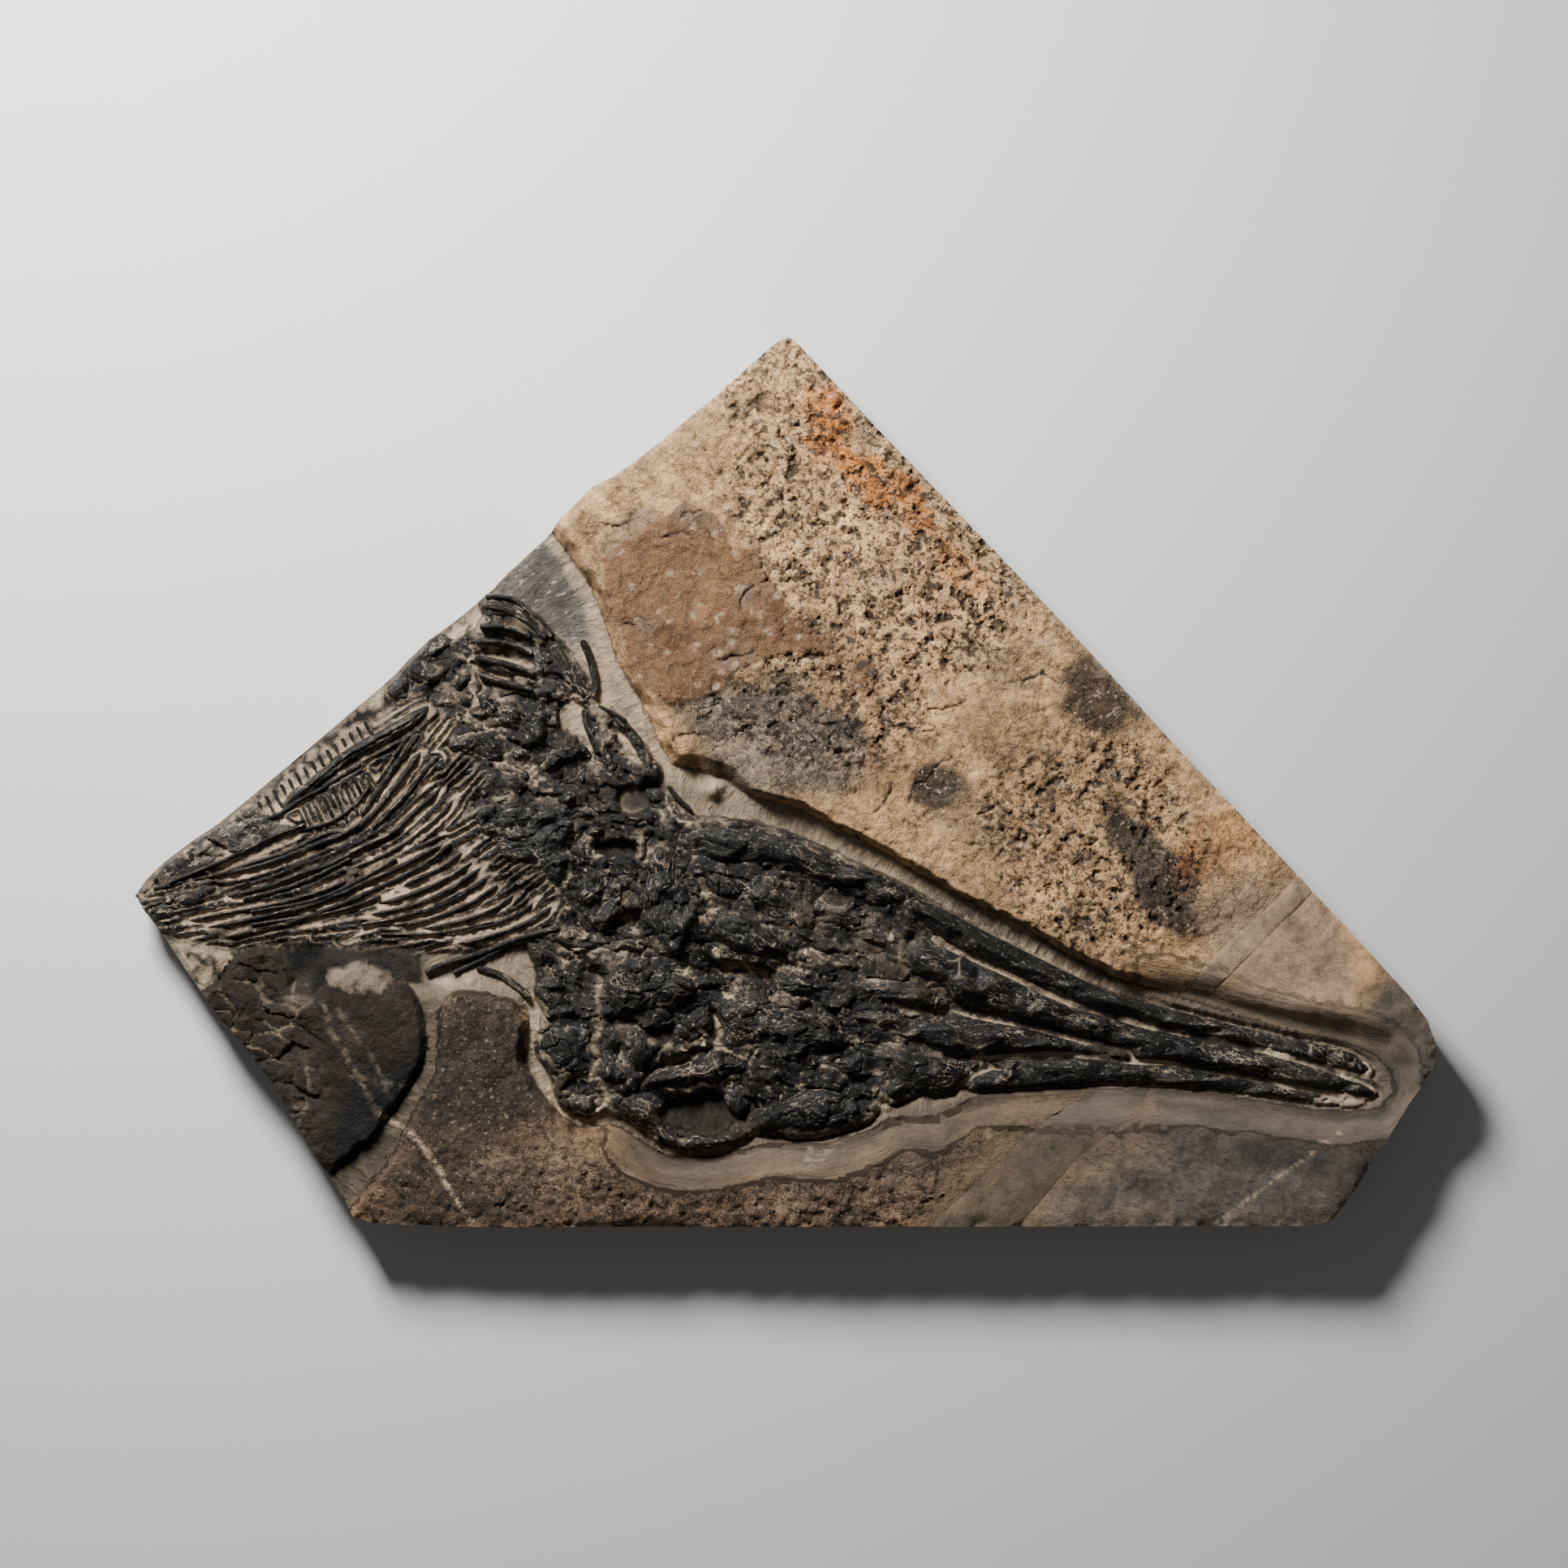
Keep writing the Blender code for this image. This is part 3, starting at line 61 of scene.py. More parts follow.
mm = 0.001
floorLevel = 30.0  # the carved floor above the slab's underside, in mm
boneBase = 30.3  # where the bones' heights start
creaseAngle = 62  # faces that meet more sharply than this many degrees keep an edge

# line where the carved floor meets its wall, from the top left round the snout to the bottom left
troughFoot = [
    (-152, 164), (-141, 151), (-133, 140), (-121, 124), (-114, 108), (-109, 92), (-104, 76), (-94, 59),
    (-84, 42), (-77, 24), (-69, 11), (-58, 9), (-46, 5), (-34, 1), (-20, -9), (8, -16), (33, -28.5),
    (60, -42.5), (87, -59), (123, -78.5), (143, -86.5), (172, -104.5), (203, -120), (232, -129),
    (262, -138), (290, -147), (320, -155), (350, -161.5), (366, -169), (375, -180), (376, -192),
    (367, -202), (350, -203.5), (330, -203), (300, -198), (280, -195), (255, -191.5), (215, -189),
    (170, -190.5), (120, -193.5), (106, -200), (92, -207), (76, -206), (63, -208), (54, -214),
    (40, -219), (25, -223), (8, -223.5), (-10, -223), (-25, -227), (-40, -230), (-58, -232),
    (-74, -230), (-86, -224), (-98, -216), (-108, -211.5), (-127, -214), (-140, -204), (-147, -197),
    (-153, -188), (-159, -177), (-162, -166), (-160.5, -157), (-158, -148), (-160, -141), (-170, -134),
    (-183, -131), (-196, -128), (-206, -130), (-212, -138), (-214, -150), (-214, -168), (-216, -180),
    (-224, -195), (-233, -210), (-239, -224), (-248, -238), (-258, -250), (-267, -262), (-276, -274)]
darkIsland = [
    (-372, -142), (-361, -130), (-350, -121), (-343, -109), (-335, -102), (-325, -101), (-313, -103),
    (-306, -113), (-302, -124), (-292, -130), (-284, -126), (-279, -117), (-270, -111), (-258, -110),
    (-248, -115), (-240, -122), (-232, -126), (-226, -135), (-222, -148), (-221, -165), (-224, -178),
    (-232, -191), (-242, -205), (-252, -218), (-264, -230), (-276, -239), (-288, -246), (-420, -320),
    (-420, -200)]


# number grids: noise, distances and masks, all in millimetres
def hashAt(ix, iy, seed):
    # large odd numbers stir a cell's place and a seed into a value from 0 to 1
    h = (ix.astype(np.int64) * 374761393 + iy.astype(np.int64) * 668265263 + seed * 144269504) & 0x7fffffff
    h = ((h ^ (h >> 13)) * 1274126177) & 0x7fffffff
    return ((h ^ (h >> 16)) & 0xffff) / 65535.0


def noiseAt(x, y, size, seed=0):
    u, v = x / size, y / size
    ix, iy = np.floor(u), np.floor(v)
    fx, fy = u - ix, v - iy
    sx, sy = fx * fx * (3 - 2 * fx), fy * fy * (3 - 2 * fy)
    a = hashAt(ix, iy, seed) * (1 - sx) + hashAt(ix + 1, iy, seed) * sx
    b = hashAt(ix, iy + 1, seed) * (1 - sx) + hashAt(ix + 1, iy + 1, seed) * sx
    return 2 * (a * (1 - sy) + b * sy) - 1


def layered(x, y, size, octaves=4, seed=0, gain=0.55):
    total, amount, norm = 0, 1.0, 0
    for k in range(octaves):
        turned = x * 0.8 + y * 0.6 * (-1) ** k, y * 0.8 - x * 0.6 * (-1) ** k
        total = total + amount * noiseAt(turned[0], turned[1], size / 2 ** k, seed + 7 * k)
        norm += amount
        amount *= gain
    return total / norm * 1.5


def cellsAt(x, y, size, seed=0):
    # distances to the nearest and second nearest of scattered points, and the nearest one's value and lean
    u, v = x / size, y / size
    ix, iy = np.floor(u), np.floor(v)
    first = np.full(x.shape, 9.0)
    second, value, tilt = first.copy(), np.zeros(x.shape), np.zeros(x.shape)
    for ox in (-1, 0, 1):
        for oy in (-1, 0, 1):
            cx, cy = ix + ox, iy + oy
            px, py = cx + hashAt(cx, cy, seed), cy + hashAt(cx, cy, seed + 5)
            d = np.hypot(u - px, v - py)
            near = d < first
            second = np.where(near, first, np.minimum(second, d))
            value = np.where(near, hashAt(cx, cy, seed + 9), value)
            leanX, leanY = hashAt(cx, cy, seed + 12) - 0.5, hashAt(cx, cy, seed + 14) - 0.5
            tilt = np.where(near, leanX * (u - px) + leanY * (v - py), tilt)
            first = np.where(near, d, first)
    return first, second, value, tilt


def ease(t):
    t = np.clip(t, 0, 1)
    return t * t * (3 - 2 * t)


def shaken(x, y, size, octaves, seeds, reach):
    # places moved a little by noise, so that what is measured from them gets a ragged edge
    return (x + layered(x, y, size, octaves, seeds[0]) * reach,
            y + layered(x, y, size, octaves, seeds[1]) * reach)


def ovalReach(x, y, cx, cy, rx, ry, turn):
    # 0 in the middle of a turned oval, 1 on its edge
    c, s = math.cos(math.radians(turn)), math.sin(math.radians(turn))
    return np.hypot(((x - cx) * c + (y - cy) * s) / rx, ((y - cy) * c - (x - cx) * s) / ry)


def insideOf(x, y, loop):
    hit = np.zeros(x.shape, bool)
    for (ax, ay), (bx, by) in zip(loop, loop[1:] + loop[:1]):
        hit ^= ((ay > y) != (by > y)) & (x < (bx - ax) * (y - ay) / (by - ay + 1e-12) + ax)
    return hit


def turnedLeft(loop):
    # the same ring, made to run anticlockwise
    area = sum(a[0] * b[1] - b[0] * a[1] for a, b in zip(loop, loop[1:] + loop[:1]))
    return loop if area > 0 else loop[::-1]


def lineField(x, y, line, closed=False):
    # distance to a line, how far along it that is, and the nearest point
    best, along = np.full(x.shape, 1e9), np.zeros(x.shape)
    nx, ny, run = x.copy(), y.copy(), 0.0
    points = list(line) + (list(line[:1]) if closed else [])
    for (ax, ay), (bx, by) in zip(points, points[1:]):
        dx, dy = bx - ax, by - ay
        length = max(math.hypot(dx, dy), 1e-6)
        t = np.clip(((x - ax) * dx + (y - ay) * dy) / length ** 2, 0, 1)
        px, py = ax + t * dx, ay + t * dy
        d = np.hypot(x - px, y - py)
        near = d < best
        best, along = np.where(near, d, best), np.where(near, run + t * length, along)
        nx, ny = np.where(near, px, nx), np.where(near, py, ny)
        run += length
    return best, along, nx, ny


def blurred(grid, times):
    for k in range(times):
        g = np.pad(grid, 1, mode="edge")
        grid = (g[1:-1, 1:-1] * 4 + 2 * (g[:-2, 1:-1] + g[2:, 1:-1] + g[1:-1, :-2] + g[1:-1, 2:])
                + g[:-2, :-2] + g[:-2, 2:] + g[2:, :-2] + g[2:, 2:]) / 16
    return grid


def spread(mask, steps):
    # distance in cells from a mask, up to a number of steps
    d = np.where(mask, 0.0, 99.0)
    for k in range(steps):
        g = np.pad(d, 1, constant_values=99.0)
        side = np.minimum.reduce([g[:-2, 1:-1], g[2:, 1:-1], g[1:-1, :-2], g[1:-1, 2:]]) + 1
        corner = np.minimum.reduce([g[:-2, :-2], g[:-2, 2:], g[2:, :-2], g[2:, 2:]]) + 1.414
        d = np.minimum.reduce([d, side, corner])
    return d


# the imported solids: a search tree and the outline of each one's underside
def solidOf(name):
    bm = bmesh.new()
    bm.from_mesh(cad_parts[name].data)
    bmesh.ops.remove_doubles(bm, verts=bm.verts, dist=1e-6)
    bmesh.ops.recalc_face_normals(bm, faces=bm.faces)
    for v in bm.verts:
        v.co /= mm
    bm.normal_update()
    tree = BVHTree.FromBMesh(bm)
    links = {}
    for e in bm.edges:
        if len([f for f in e.link_faces if f.normal.z < -0.9]) == 1:
            a, b = e.verts
            links.setdefault(a, []).append(b)
            links.setdefault(b, []).append(a)
    start = min(links, key=lambda v: (v.co.x, v.co.y))
    loop, last, here = [start], None, start
    while True:
        step = [v for v in links[here] if v is not last and v is not here]
        last, here = here, step[0]
        if here is start:
            break
        loop.append(here)
    outline = turnedLeft([(v.co.x, v.co.y) for v in loop])
    bm.free()
    return tree, outline


def heightsOf(tree, x, y):
    found = np.full(x.size, np.nan)
    down = Vector((0, 0, -1))
    for i, (px, py) in enumerate(zip(x.ravel().tolist(), y.ravel().tolist())):
        hit = tree.ray_cast(Vector((px, py, 200)), down)[0]
        if hit is not None:
            found[i] = hit.z
    found = found.reshape(x.shape)
    for k in range(6):
        g = np.pad(found, 1, constant_values=np.nan)
        stack = np.stack([g[:-2, 1:-1], g[2:, 1:-1], g[1:-1, :-2], g[1:-1, 2:]])
        count = (~np.isnan(stack)).sum(0)
        fill = np.nansum(stack, 0) / np.maximum(count, 1)
        found = np.where(np.isnan(found) & (count > 0), fill, found)
    return np.nan_to_num(found, nan=floorLevel)


def corners(mesh):
    co = np.empty(len(mesh.vertices) * 3)
    mesh.vertices.foreach_get("co", co)
    return co.reshape(-1, 3)


def pointsOf(piece):
    co = corners(piece.data) / mm
    return co[:, 0], co[:, 1], co[:, 2]


def selectRim():
    # the open edges of the piece that is in edit mode
    bpy.ops.mesh.select_all(action="DESELECT")
    bpy.ops.mesh.select_non_manifold(extend=False, use_wire=False, use_multi_face=False,
                                     use_non_contiguous=False, use_verts=False)


def cutGrid(name, outline, step, heights):
    # a grid at the given heights, cut to the outline, its rim moved onto the outline
    xs, ys = [p[0] for p in outline], [p[1] for p in outline]
    gx = np.arange(min(xs) - step, max(xs) + step * 1.5, step)
    gy = np.arange(min(ys) - step, max(ys) + step * 1.5, step)
    x, y = np.meshgrid(gx, gy)
    z = heights(x, y)
    middleX, middleY = (x[1:, 1:] + x[:-1, :-1]) / 2, (y[1:, 1:] + y[:-1, :-1]) / 2
    keep = insideOf(middleX, middleY, outline)
    used, lost = np.zeros(x.shape, bool), np.zeros(x.shape, bool)
    for oy in (0, 1):
        for ox in (0, 1):
            part = np.s_[oy:oy + keep.shape[0], ox:ox + keep.shape[1]]
            used[part] |= keep
            lost[part] |= ~keep
    rim = used & lost
    x[rim], y[rim] = lineField(x[rim], y[rim], outline, True)[2:]
    rows, cols = x.shape
    bpy.ops.object.select_all(action="DESELECT")
    bpy.ops.mesh.primitive_grid_add(x_subdivisions=cols - 1, y_subdivisions=rows - 1, size=2)
    piece = bpy.context.object
    piece.name = name
    mesh = piece.data
    co = corners(mesh)
    column = np.rint((co[:, 0] + 1) / 2 * (cols - 1)).astype(int)
    row = np.rint((co[:, 1] + 1) / 2 * (rows - 1)).astype(int)
    centre = np.empty(len(mesh.polygons) * 3)
    mesh.polygons.foreach_get("center", centre)
    centre = centre.reshape(-1, 3)
    cellX = np.floor((centre[:, 0] + 1) / 2 * (cols - 1)).astype(int)
    cellY = np.floor((centre[:, 1] + 1) / 2 * (rows - 1)).astype(int)
    co[:, 0], co[:, 1], co[:, 2] = x[row, column] * mm, y[row, column] * mm, z[row, column] * mm
    mesh.vertices.foreach_set("co", co.ravel())
    bpy.ops.object.mode_set(mode="EDIT")
    bpy.ops.mesh.select_mode(type="FACE")
    bpy.ops.mesh.select_all(action="DESELECT")
    bpy.ops.object.mode_set(mode="OBJECT")
    mesh.polygons.foreach_set("select", ~keep[cellY, cellX])
    bpy.ops.object.mode_set(mode="EDIT")
    bpy.ops.mesh.delete(type="FACE")
    bpy.ops.object.mode_set(mode="OBJECT")
    return piece


def wallDown(mesh, level, drift):
    # a wall from the open rim down to a level in mm, drawn in a little and unevenly where drift is set
    bpy.ops.object.mode_set(mode="EDIT")
    bpy.ops.mesh.select_mode(type="EDGE")
    selectRim()
    bpy.ops.mesh.extrude_region_move()
    bpy.ops.object.mode_set(mode="OBJECT")
    chosen = np.zeros(len(mesh.vertices), bool)
    mesh.vertices.foreach_get("select", chosen)
    co = corners(mesh)
    px, py = co[chosen, 0] / mm, co[chosen, 1] / mm
    if drift:
        midX, midY = np.mean(px), np.mean(py)
        pull = drift * (0.5 + 0.5 * layered(px + level * 2, py - level, 14, 3, 31)) / 300
        px, py = px + (midX - px) * pull, py + (midY - py) * pull
    co[chosen, 0], co[chosen, 1] = px * mm, py * mm
    co[chosen, 2] = np.minimum(co[chosen, 2], level * mm)
    mesh.vertices.foreach_set("co", co.ravel())


def reliefPiece(name, outline, step, heights, walls, keepShare=1.0, drift=0.0):
    # one closed piece: a relief cut to an outline, walls down to each level, and a flat underside
    piece = cutGrid(name, outline, step, heights)
    if keepShare < 1:
        thin = piece.modifiers.new("thin", "DECIMATE")
        thin.ratio = keepShare
        bpy.ops.object.modifier_apply(modifier="thin")
    for level in walls:
        wallDown(piece.data, level, drift)
    bpy.ops.object.mode_set(mode="EDIT")
    selectRim()
    bpy.ops.mesh.edge_face_add()
    bpy.ops.mesh.select_all(action="SELECT")
    bpy.ops.mesh.normals_make_consistent(inside=False)
    bpy.ops.mesh.select_all(action="DESELECT")
    bpy.ops.object.mode_set(mode="OBJECT")
    bpy.ops.object.shade_smooth_by_angle(angle=math.radians(creaseAngle))
    return piece


def paint(piece, rgb, gloss, wear, grain):
    # on every point: colour and gloss, cover of pits, flecks and cracks, and the place for the grain
    tone = piece.data.attributes.new("tone", "FLOAT_COLOR", "POINT")
    data = np.column_stack([np.clip(rgb, 0, 1), np.clip(gloss, 0, 1)])
    tone.data.foreach_set("color", data.astype(np.float32).ravel())
    cover = piece.data.attributes.new("wear", "FLOAT_COLOR", "POINT")
    data = np.column_stack([np.clip(part, 0, 1) for part in wear] + [wear[0] * 0 + 1])
    cover.data.foreach_set("color", data.astype(np.float32).ravel())
    run = piece.data.attributes.new("grain", "FLOAT_VECTOR", "POINT")
    run.data.foreach_set("vector", (np.column_stack(grain) * mm).astype(np.float32).ravel())


def handOver(piece, material, node=None):
    piece.data.materials.clear()
    piece.data.materials.append(material)
    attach(piece, "root")
    if node:
        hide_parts(node)


# materials: painted tone, broken up by grain, by marks where the wear says so, and by a fine bump
def makeMaterial(name, look):
    material = bpy.data.materials.new(name)
    material.use_nodes = True
    nodes, links = material.node_tree.nodes, material.node_tree.links
    shader = nodes["Principled BSDF"]

    def attribute(title):
        node = nodes.new("ShaderNodeAttribute")
        node.attribute_name = title
        return node.outputs

    def feed(pairs):
        for socket, value in pairs:
            if isinstance(value, (int, float, tuple)):
                socket.default_value = value
            else:
                links.new(value, socket)

    def mathNode(kind, a, b=0.0):
        node = nodes.new("ShaderNodeMath")
        node.operation = kind
        feed(((node.inputs[0], a), (node.inputs[1], b)))
        return node.outputs[0]

    def noiseNode(scale, detail, roughness=0.6):
        node = nodes.new("ShaderNodeTexNoise")
        feed(((node.inputs["Scale"], float(scale)), (node.inputs["Detail"], float(detail)),
              (node.inputs["Roughness"], roughness), (node.inputs["Vector"], place)))
        return node.outputs["Fac"]

    def mapped(value, low, high, outLow, outHigh):
        node = nodes.new("ShaderNodeMapRange")
        feed(zip([node.inputs[k] for k in ("Value", "From Min", "From Max", "To Min", "To Max")],
                 (value, float(low), float(high), float(outLow), float(outHigh))))
        return node.outputs["Result"]

    def mixed(kind, factor, a, b):
        node = nodes.new("ShaderNodeMix")
        node.data_type = "RGBA"
        node.blend_type = kind
        feed(((node.inputs[0], factor), (node.inputs[6], a), (node.inputs[7], b)))
        return node.outputs[2]

    def bumpNode(height, distance, normal):
        node = nodes.new("ShaderNodeBump")
        node.invert = distance < 0
        feed(((node.inputs["Strength"], 1.0), (node.inputs["Distance"], abs(distance) * mm),
              (node.inputs["Height"], height)))
        if normal:
            links.new(normal, node.inputs["Normal"])
        return node.outputs["Normal"]

    place = attribute("grain")["Vector"]
    tone = attribute("tone")
    split = nodes.new("ShaderNodeSeparateColor")
    links.new(attribute("wear")["Color"], split.inputs[0])
    covers = {"pits": split.outputs[0], "flecks": split.outputs[1], "cracks": split.outputs[2]}
    amount = look["amount"]
    fine = mapped(noiseNode(look["fine"], 2, 0.7), 0.3, 0.7, 1 - amount, 1 + amount)
    wide = mapped(noiseNode(look["wide"], 3), 0.3, 0.7, 1 - amount * 0.6, 1 + amount * 0.6)
    colour = mixed("MULTIPLY", 1.0, tone["Color"], fine)
    colour = mixed("MULTIPLY", 1.0, colour, wide)
    normal = None
    for scale, detail, height in look["bumps"]:
        normal = bumpNode(noiseNode(scale, detail, 0.65), height, normal)
    for kind, scale, detail, low, soft, share, cover, height, paintColour in look["marks"]:
        value = noiseNode(scale, detail)
        if kind == "line":
            value = mathNode("ABSOLUTE", mathNode("SUBTRACT", value, 0.5))
            factor = mapped(value, low, low + soft, share, 0)
        else:
            factor = mapped(value, low, low + soft, 0, share)
        if cover:
            factor = mathNode("MULTIPLY", factor, covers[cover])
        colour = mixed("MIX", factor, colour, paintColour)
        if height:
            normal = bumpNode(factor, height, normal)
    links.new(colour, shader.inputs["Base Color"])
    gloss = mapped(tone["Alpha"], 0, 1, look["rough"], look["shine"])
    uneven = mapped(noiseNode(look["fine"] * 0.6, 1), 0.3, 0.7, -0.1, 0.14)
    links.new(mathNode("ADD", gloss, uneven), shader.inputs["Roughness"])
    links.new(normal, shader.inputs["Normal"])
    shader.inputs["Specular IOR Level"].default_value = look.get("sheen", 0.4)
    return material


# each mark: kind, scale, detail, from where, how soft, how strong, cover that it needs, height in mm, colour
stoneLook = makeMaterial("weathered_stone", {
    "fine": 900, "wide": 90, "amount": 0.26, "rough": 0.92, "shine": 0.42, "sheen": 0.25,
    "bumps": [(240, 4, 2.0), (900, 2, 0.7)],
    "marks": [("spot", 230, 3, 0.55, 0.05, 0.85, "pits", -1.2, (0.055, 0.043, 0.033, 1)),
              ("spot", 520, 2, 0.57, 0.06, 0.6, "pits", -0.6, (0.07, 0.052, 0.038, 1)),
              ("spot", 330, 3, 0.6, 0.05, 0.8, "flecks", 0.5, (0.62, 0.48, 0.34, 1)),
              ("line", 60, 6, 0.004, 0.01, 0.85, "cracks", -0.9, (0.04, 0.03, 0.022, 1))]})
sandedLook = makeMaterial("sanded_stone", {
    "fine": 900, "wide": 60, "amount": 0.24, "rough": 0.85, "shine": 0.45,
    "bumps": [(330, 3, 0.8), (1300, 1, 0.3)],
    "marks": [("spot", 420, 4, 0.55, 0.08, 0.5, "pits", -0.4, (0.06, 0.052, 0.045, 1)),
              ("spot", 700, 4, 0.6, 0.06, 0.4, "flecks", 0.3, (0.4, 0.33, 0.25, 1)),
              ("line", 40, 5, 0.003, 0.008, 0.5, "cracks", -0.3, (0.08, 0.06, 0.045, 1))]})
fillerLook = makeMaterial("smeared_filler", {
    "fine": 600, "wide": 45, "amount": 0.18, "rough": 0.8, "shine": 0.45,
    "bumps": [(140, 4, 0.8), (900, 1, 0.25)],
    "marks": [("spot", 160, 5, 0.58, 0.1, 0.35, "pits", -0.3, (0.12, 0.09, 0.06, 1)),
              ("spot", 420, 4, 0.64, 0.05, 0.4, "flecks", 0.2, (0.5, 0.42, 0.32, 1))]})
boneMarks = [("spot", 260, 3, 0.54, 0.12, 0.28, "", 0.6, (0.075, 0.07, 0.062, 1)),
             # the pale grey specks below are painted glints: the sparkle of the light on the bone's facets,
             # put into the colour
             ("spot", 640, 2, 0.61, 0.05, 0.6, "", 0.3, (0.26, 0.25, 0.22, 1)),
             ("line", 105, 4, 0.004, 0.014, 0.9, "cracks", -0.4, (0.46, 0.36, 0.25, 1)),
             ("spot", 480, 3, 0.62, 0.05, 0.7, "flecks", 0.2, (0.45, 0.38, 0.3, 1))]
boneLook = makeMaterial("fossil_bone", {
    "fine": 1000, "wide": 120, "amount": 0.55, "rough": 0.85, "shine": 0.44, "sheen": 0.2,
    "bumps": [(220, 4, 1.5), (800, 2, 0.8)], "marks": boneMarks})
greyBoneLook = makeMaterial("grey_fossil_bone", {
    "fine": 800, "wide": 120, "amount": 0.5, "rough": 0.85, "shine": 0.48, "sheen": 0.25,
    "bumps": [(240, 4, 1.2), (800, 2, 0.7)], "marks": boneMarks})
print("stage: materials ready")

# thin ribs and rib stubs too small for solids, as paths on the floor with a width and a height
thinRibs = [
    ([(-285, -2), (-270, 7), (-262, 12)], 4.5, 5),
    ([(-380, -62), (-355, -52), (-335, -43), (-315, -33), (-296, -26)], 3, 7.5),
    ([(-390, -66), (-350, -56.5), (-330, -50), (-305, -42), (-285, -32), (-270, -30)], 3.2, 5.5),
    ([(-345, -36), (-330, -26), (-313, -20), (-298, -10), (-282, -2)], 3.2, 6),
    ([(-140, -90), (-165, -97), (-180, -103), (-195, -108), (-212, -113), (-222, -118)], 4, 6),
    ([(-175, -103), (-190, -111), (-205, -118)], 3.4, 5),
    ([(-190, -115), (-175, -120), (-165, -127), (-158, -133)], 5, 6),
    ([(-185, 115), (-170, 114), (-160, 108), (-150, 98), (-144, 90)], 3.4, 6),
    ([(-183, 104), (-174, 104.5), (-166, 102)], 3, 4), ([(-158, 63), (-148, 57), (-140, 52)], 4, 6),
    ([(-125, 88), (-120, 76), (-117, 62), (-118, 53)], 5, 6),
    ([(-124, 45), (-122, 35), (-118, 25), (-115, 18)], 4.5, 6), ([(-115, 47), (-105, 42), (-98, 38)], 3, 5),
    ([(-72, -2), (-66, -10), (-58, -17)], 3.2, 5),
    ([(-335, -72), (-310, -66), (-290, -58), (-268, -47)], 3, 5.5),
    ([(-330, -80), (-300, -75), (-280, -69), (-262, -60), (-240, -47)], 3, 5),
    ([(-255, -28), (-243, -17), (-232, -5), (-222, 8), (-214, 16)], 4, 6),
    ([(-262, -20), (-252, -6), (-242, 8), (-234, 20), (-226, 30)], 4, 5.5),
    ([(-300, -30), (-280, -24), (-266, -14), (-256, -2)], 3.2, 5),
    ([(-240, -60), (-222, -50), (-206, -38)], 3, 6),
    ([(-262, -88), (-240, -84), (-218, -77), (-200, -68)], 2.6, 5),
    ([(-330, -88), (-300, -84), (-270, -78), (-250, -70)], 2.6, 5),
    ([(-250, -94), (-228, -94), (-205, -92), (-180, -86)], 2.4, 5),
    ([(-188, 96), (-172, 95.5), (-157, 90)], 4.6, 10), ([(-190, 87), (-173, 86), (-156, 80)], 4.4, 10),
    ([(-191, 77), (-173, 73), (-155, 67.5)], 4.8, 10), ([(-188, 66), (-172, 61), (-156, 57)], 4.6, 10)]
# two rows of short stubs beside the slab's upper left edge: the run to the last one, or the step to the next
edgeStubs = {"count": 15, "first": (-326, -12), "run": (66, 50), "width": 2.4, "tall": 4.0}
innerStubs = {"count": 7, "first": (-298, -15), "step": (6.5, 3.2), "width": 2.6, "tall": 4.5}
for k in range(edgeStubs["count"]):
    share = k / (edgeStubs["count"] - 1)
    px, py = (edgeStubs["first"][i] + share * edgeStubs["run"][i] for i in (0, 1))
    stub = [(px, py), (px + 4, py - 7), (px + 7 + 2 * (k % 3), py - 13 - 3 * (k % 2))]
    thinRibs.append((stub, edgeStubs["width"], edgeStubs["tall"]))
for k in range(innerStubs["count"]):
    px, py = (innerStubs["first"][i] + innerStubs["step"][i] * k for i in (0, 1))
    stub = [(px, py), (px + 4, py - 9), (px + 8, py - 17 - 2 * (k % 2))]
    thinRibs.append((stub, innerStubs["width"], innerStubs["tall"]))


def ribOutline(path, width):
    # widens a smoothed path into a ring, narrower at its ends, and gives the smoothed path as well
    pts = [np.array(p, float) for p in path]
    ring = [pts[0]] + pts + [pts[-1]]
    line = []
    for i in range(len(pts) - 1):
        p0, p1, p2, p3 = ring[i:i + 4]
        line += [0.5 * (2 * p1 + (p2 - p0) * t + (2 * p0 - 5 * p1 + 4 * p2 - p3) * t * t
                        + (3 * p1 - p0 - 3 * p2 + p3) * t ** 3) for t in (0, 0.25, 0.5, 0.75)]
    line.append(pts[-1])
    left, right = [], []
    for i, p in enumerate(line):
        run = line[min(i + 1, len(line) - 1)] - line[max(i - 1, 0)]
        side = np.array((-run[1], run[0])) / np.hypot(*run)
        half = width / 2 * (0.55 if i in (0, len(line) - 1) else 1)
        left.append(tuple(p + side * half))
        right.append(tuple(p - side * half))
    return turnedLeft(right + left[::-1]), [tuple(p) for p in line]


# where the bones lie, how near they are, and the level of the crushed matrix between them
gridStep = 1.5
gridStart = (-405, -277)
gridX, gridY = np.meshgrid(*(np.arange(edge, -edge, gridStep) for edge in gridStart))
stones = ("slab_main", "slab_snout_end", "repair_filler")
boneNames = [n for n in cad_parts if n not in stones]
ribGrow = 0.8
# matrix fills the gaps between bones: it starts "free" mm from open ground, which is "open" mm from any bone,
# is full "soft" mm further on, and is measured over so many cells
narrowGaps = {"open": 10, "free": 8.0, "soft": 4, "cells": 14}
wideGaps = {"open": 17, "free": 15.0, "soft": 4, "cells": 20}
boneReach = 14  # cells over which the distance to the nearest bone is measured
levelBlurs = 60  # how far the height of the bones spreads over the matrix
snoutStart = 60  # from here to the right the snout's bars lie bare


def grown(outline, amount):
    # an outline moved outwards along its corners' own normals
    ring = []
    for a, b, c in zip(outline[-1:] + outline[:-1], outline, outline[1:] + outline[:1]):
        dx, dy = c[0] - a[0], c[1] - a[1]
        length = max(math.hypot(dx, dy), 1e-6)
        ring.append((b[0] + dy / length * amount, b[1] - dx / length * amount))
    return ring


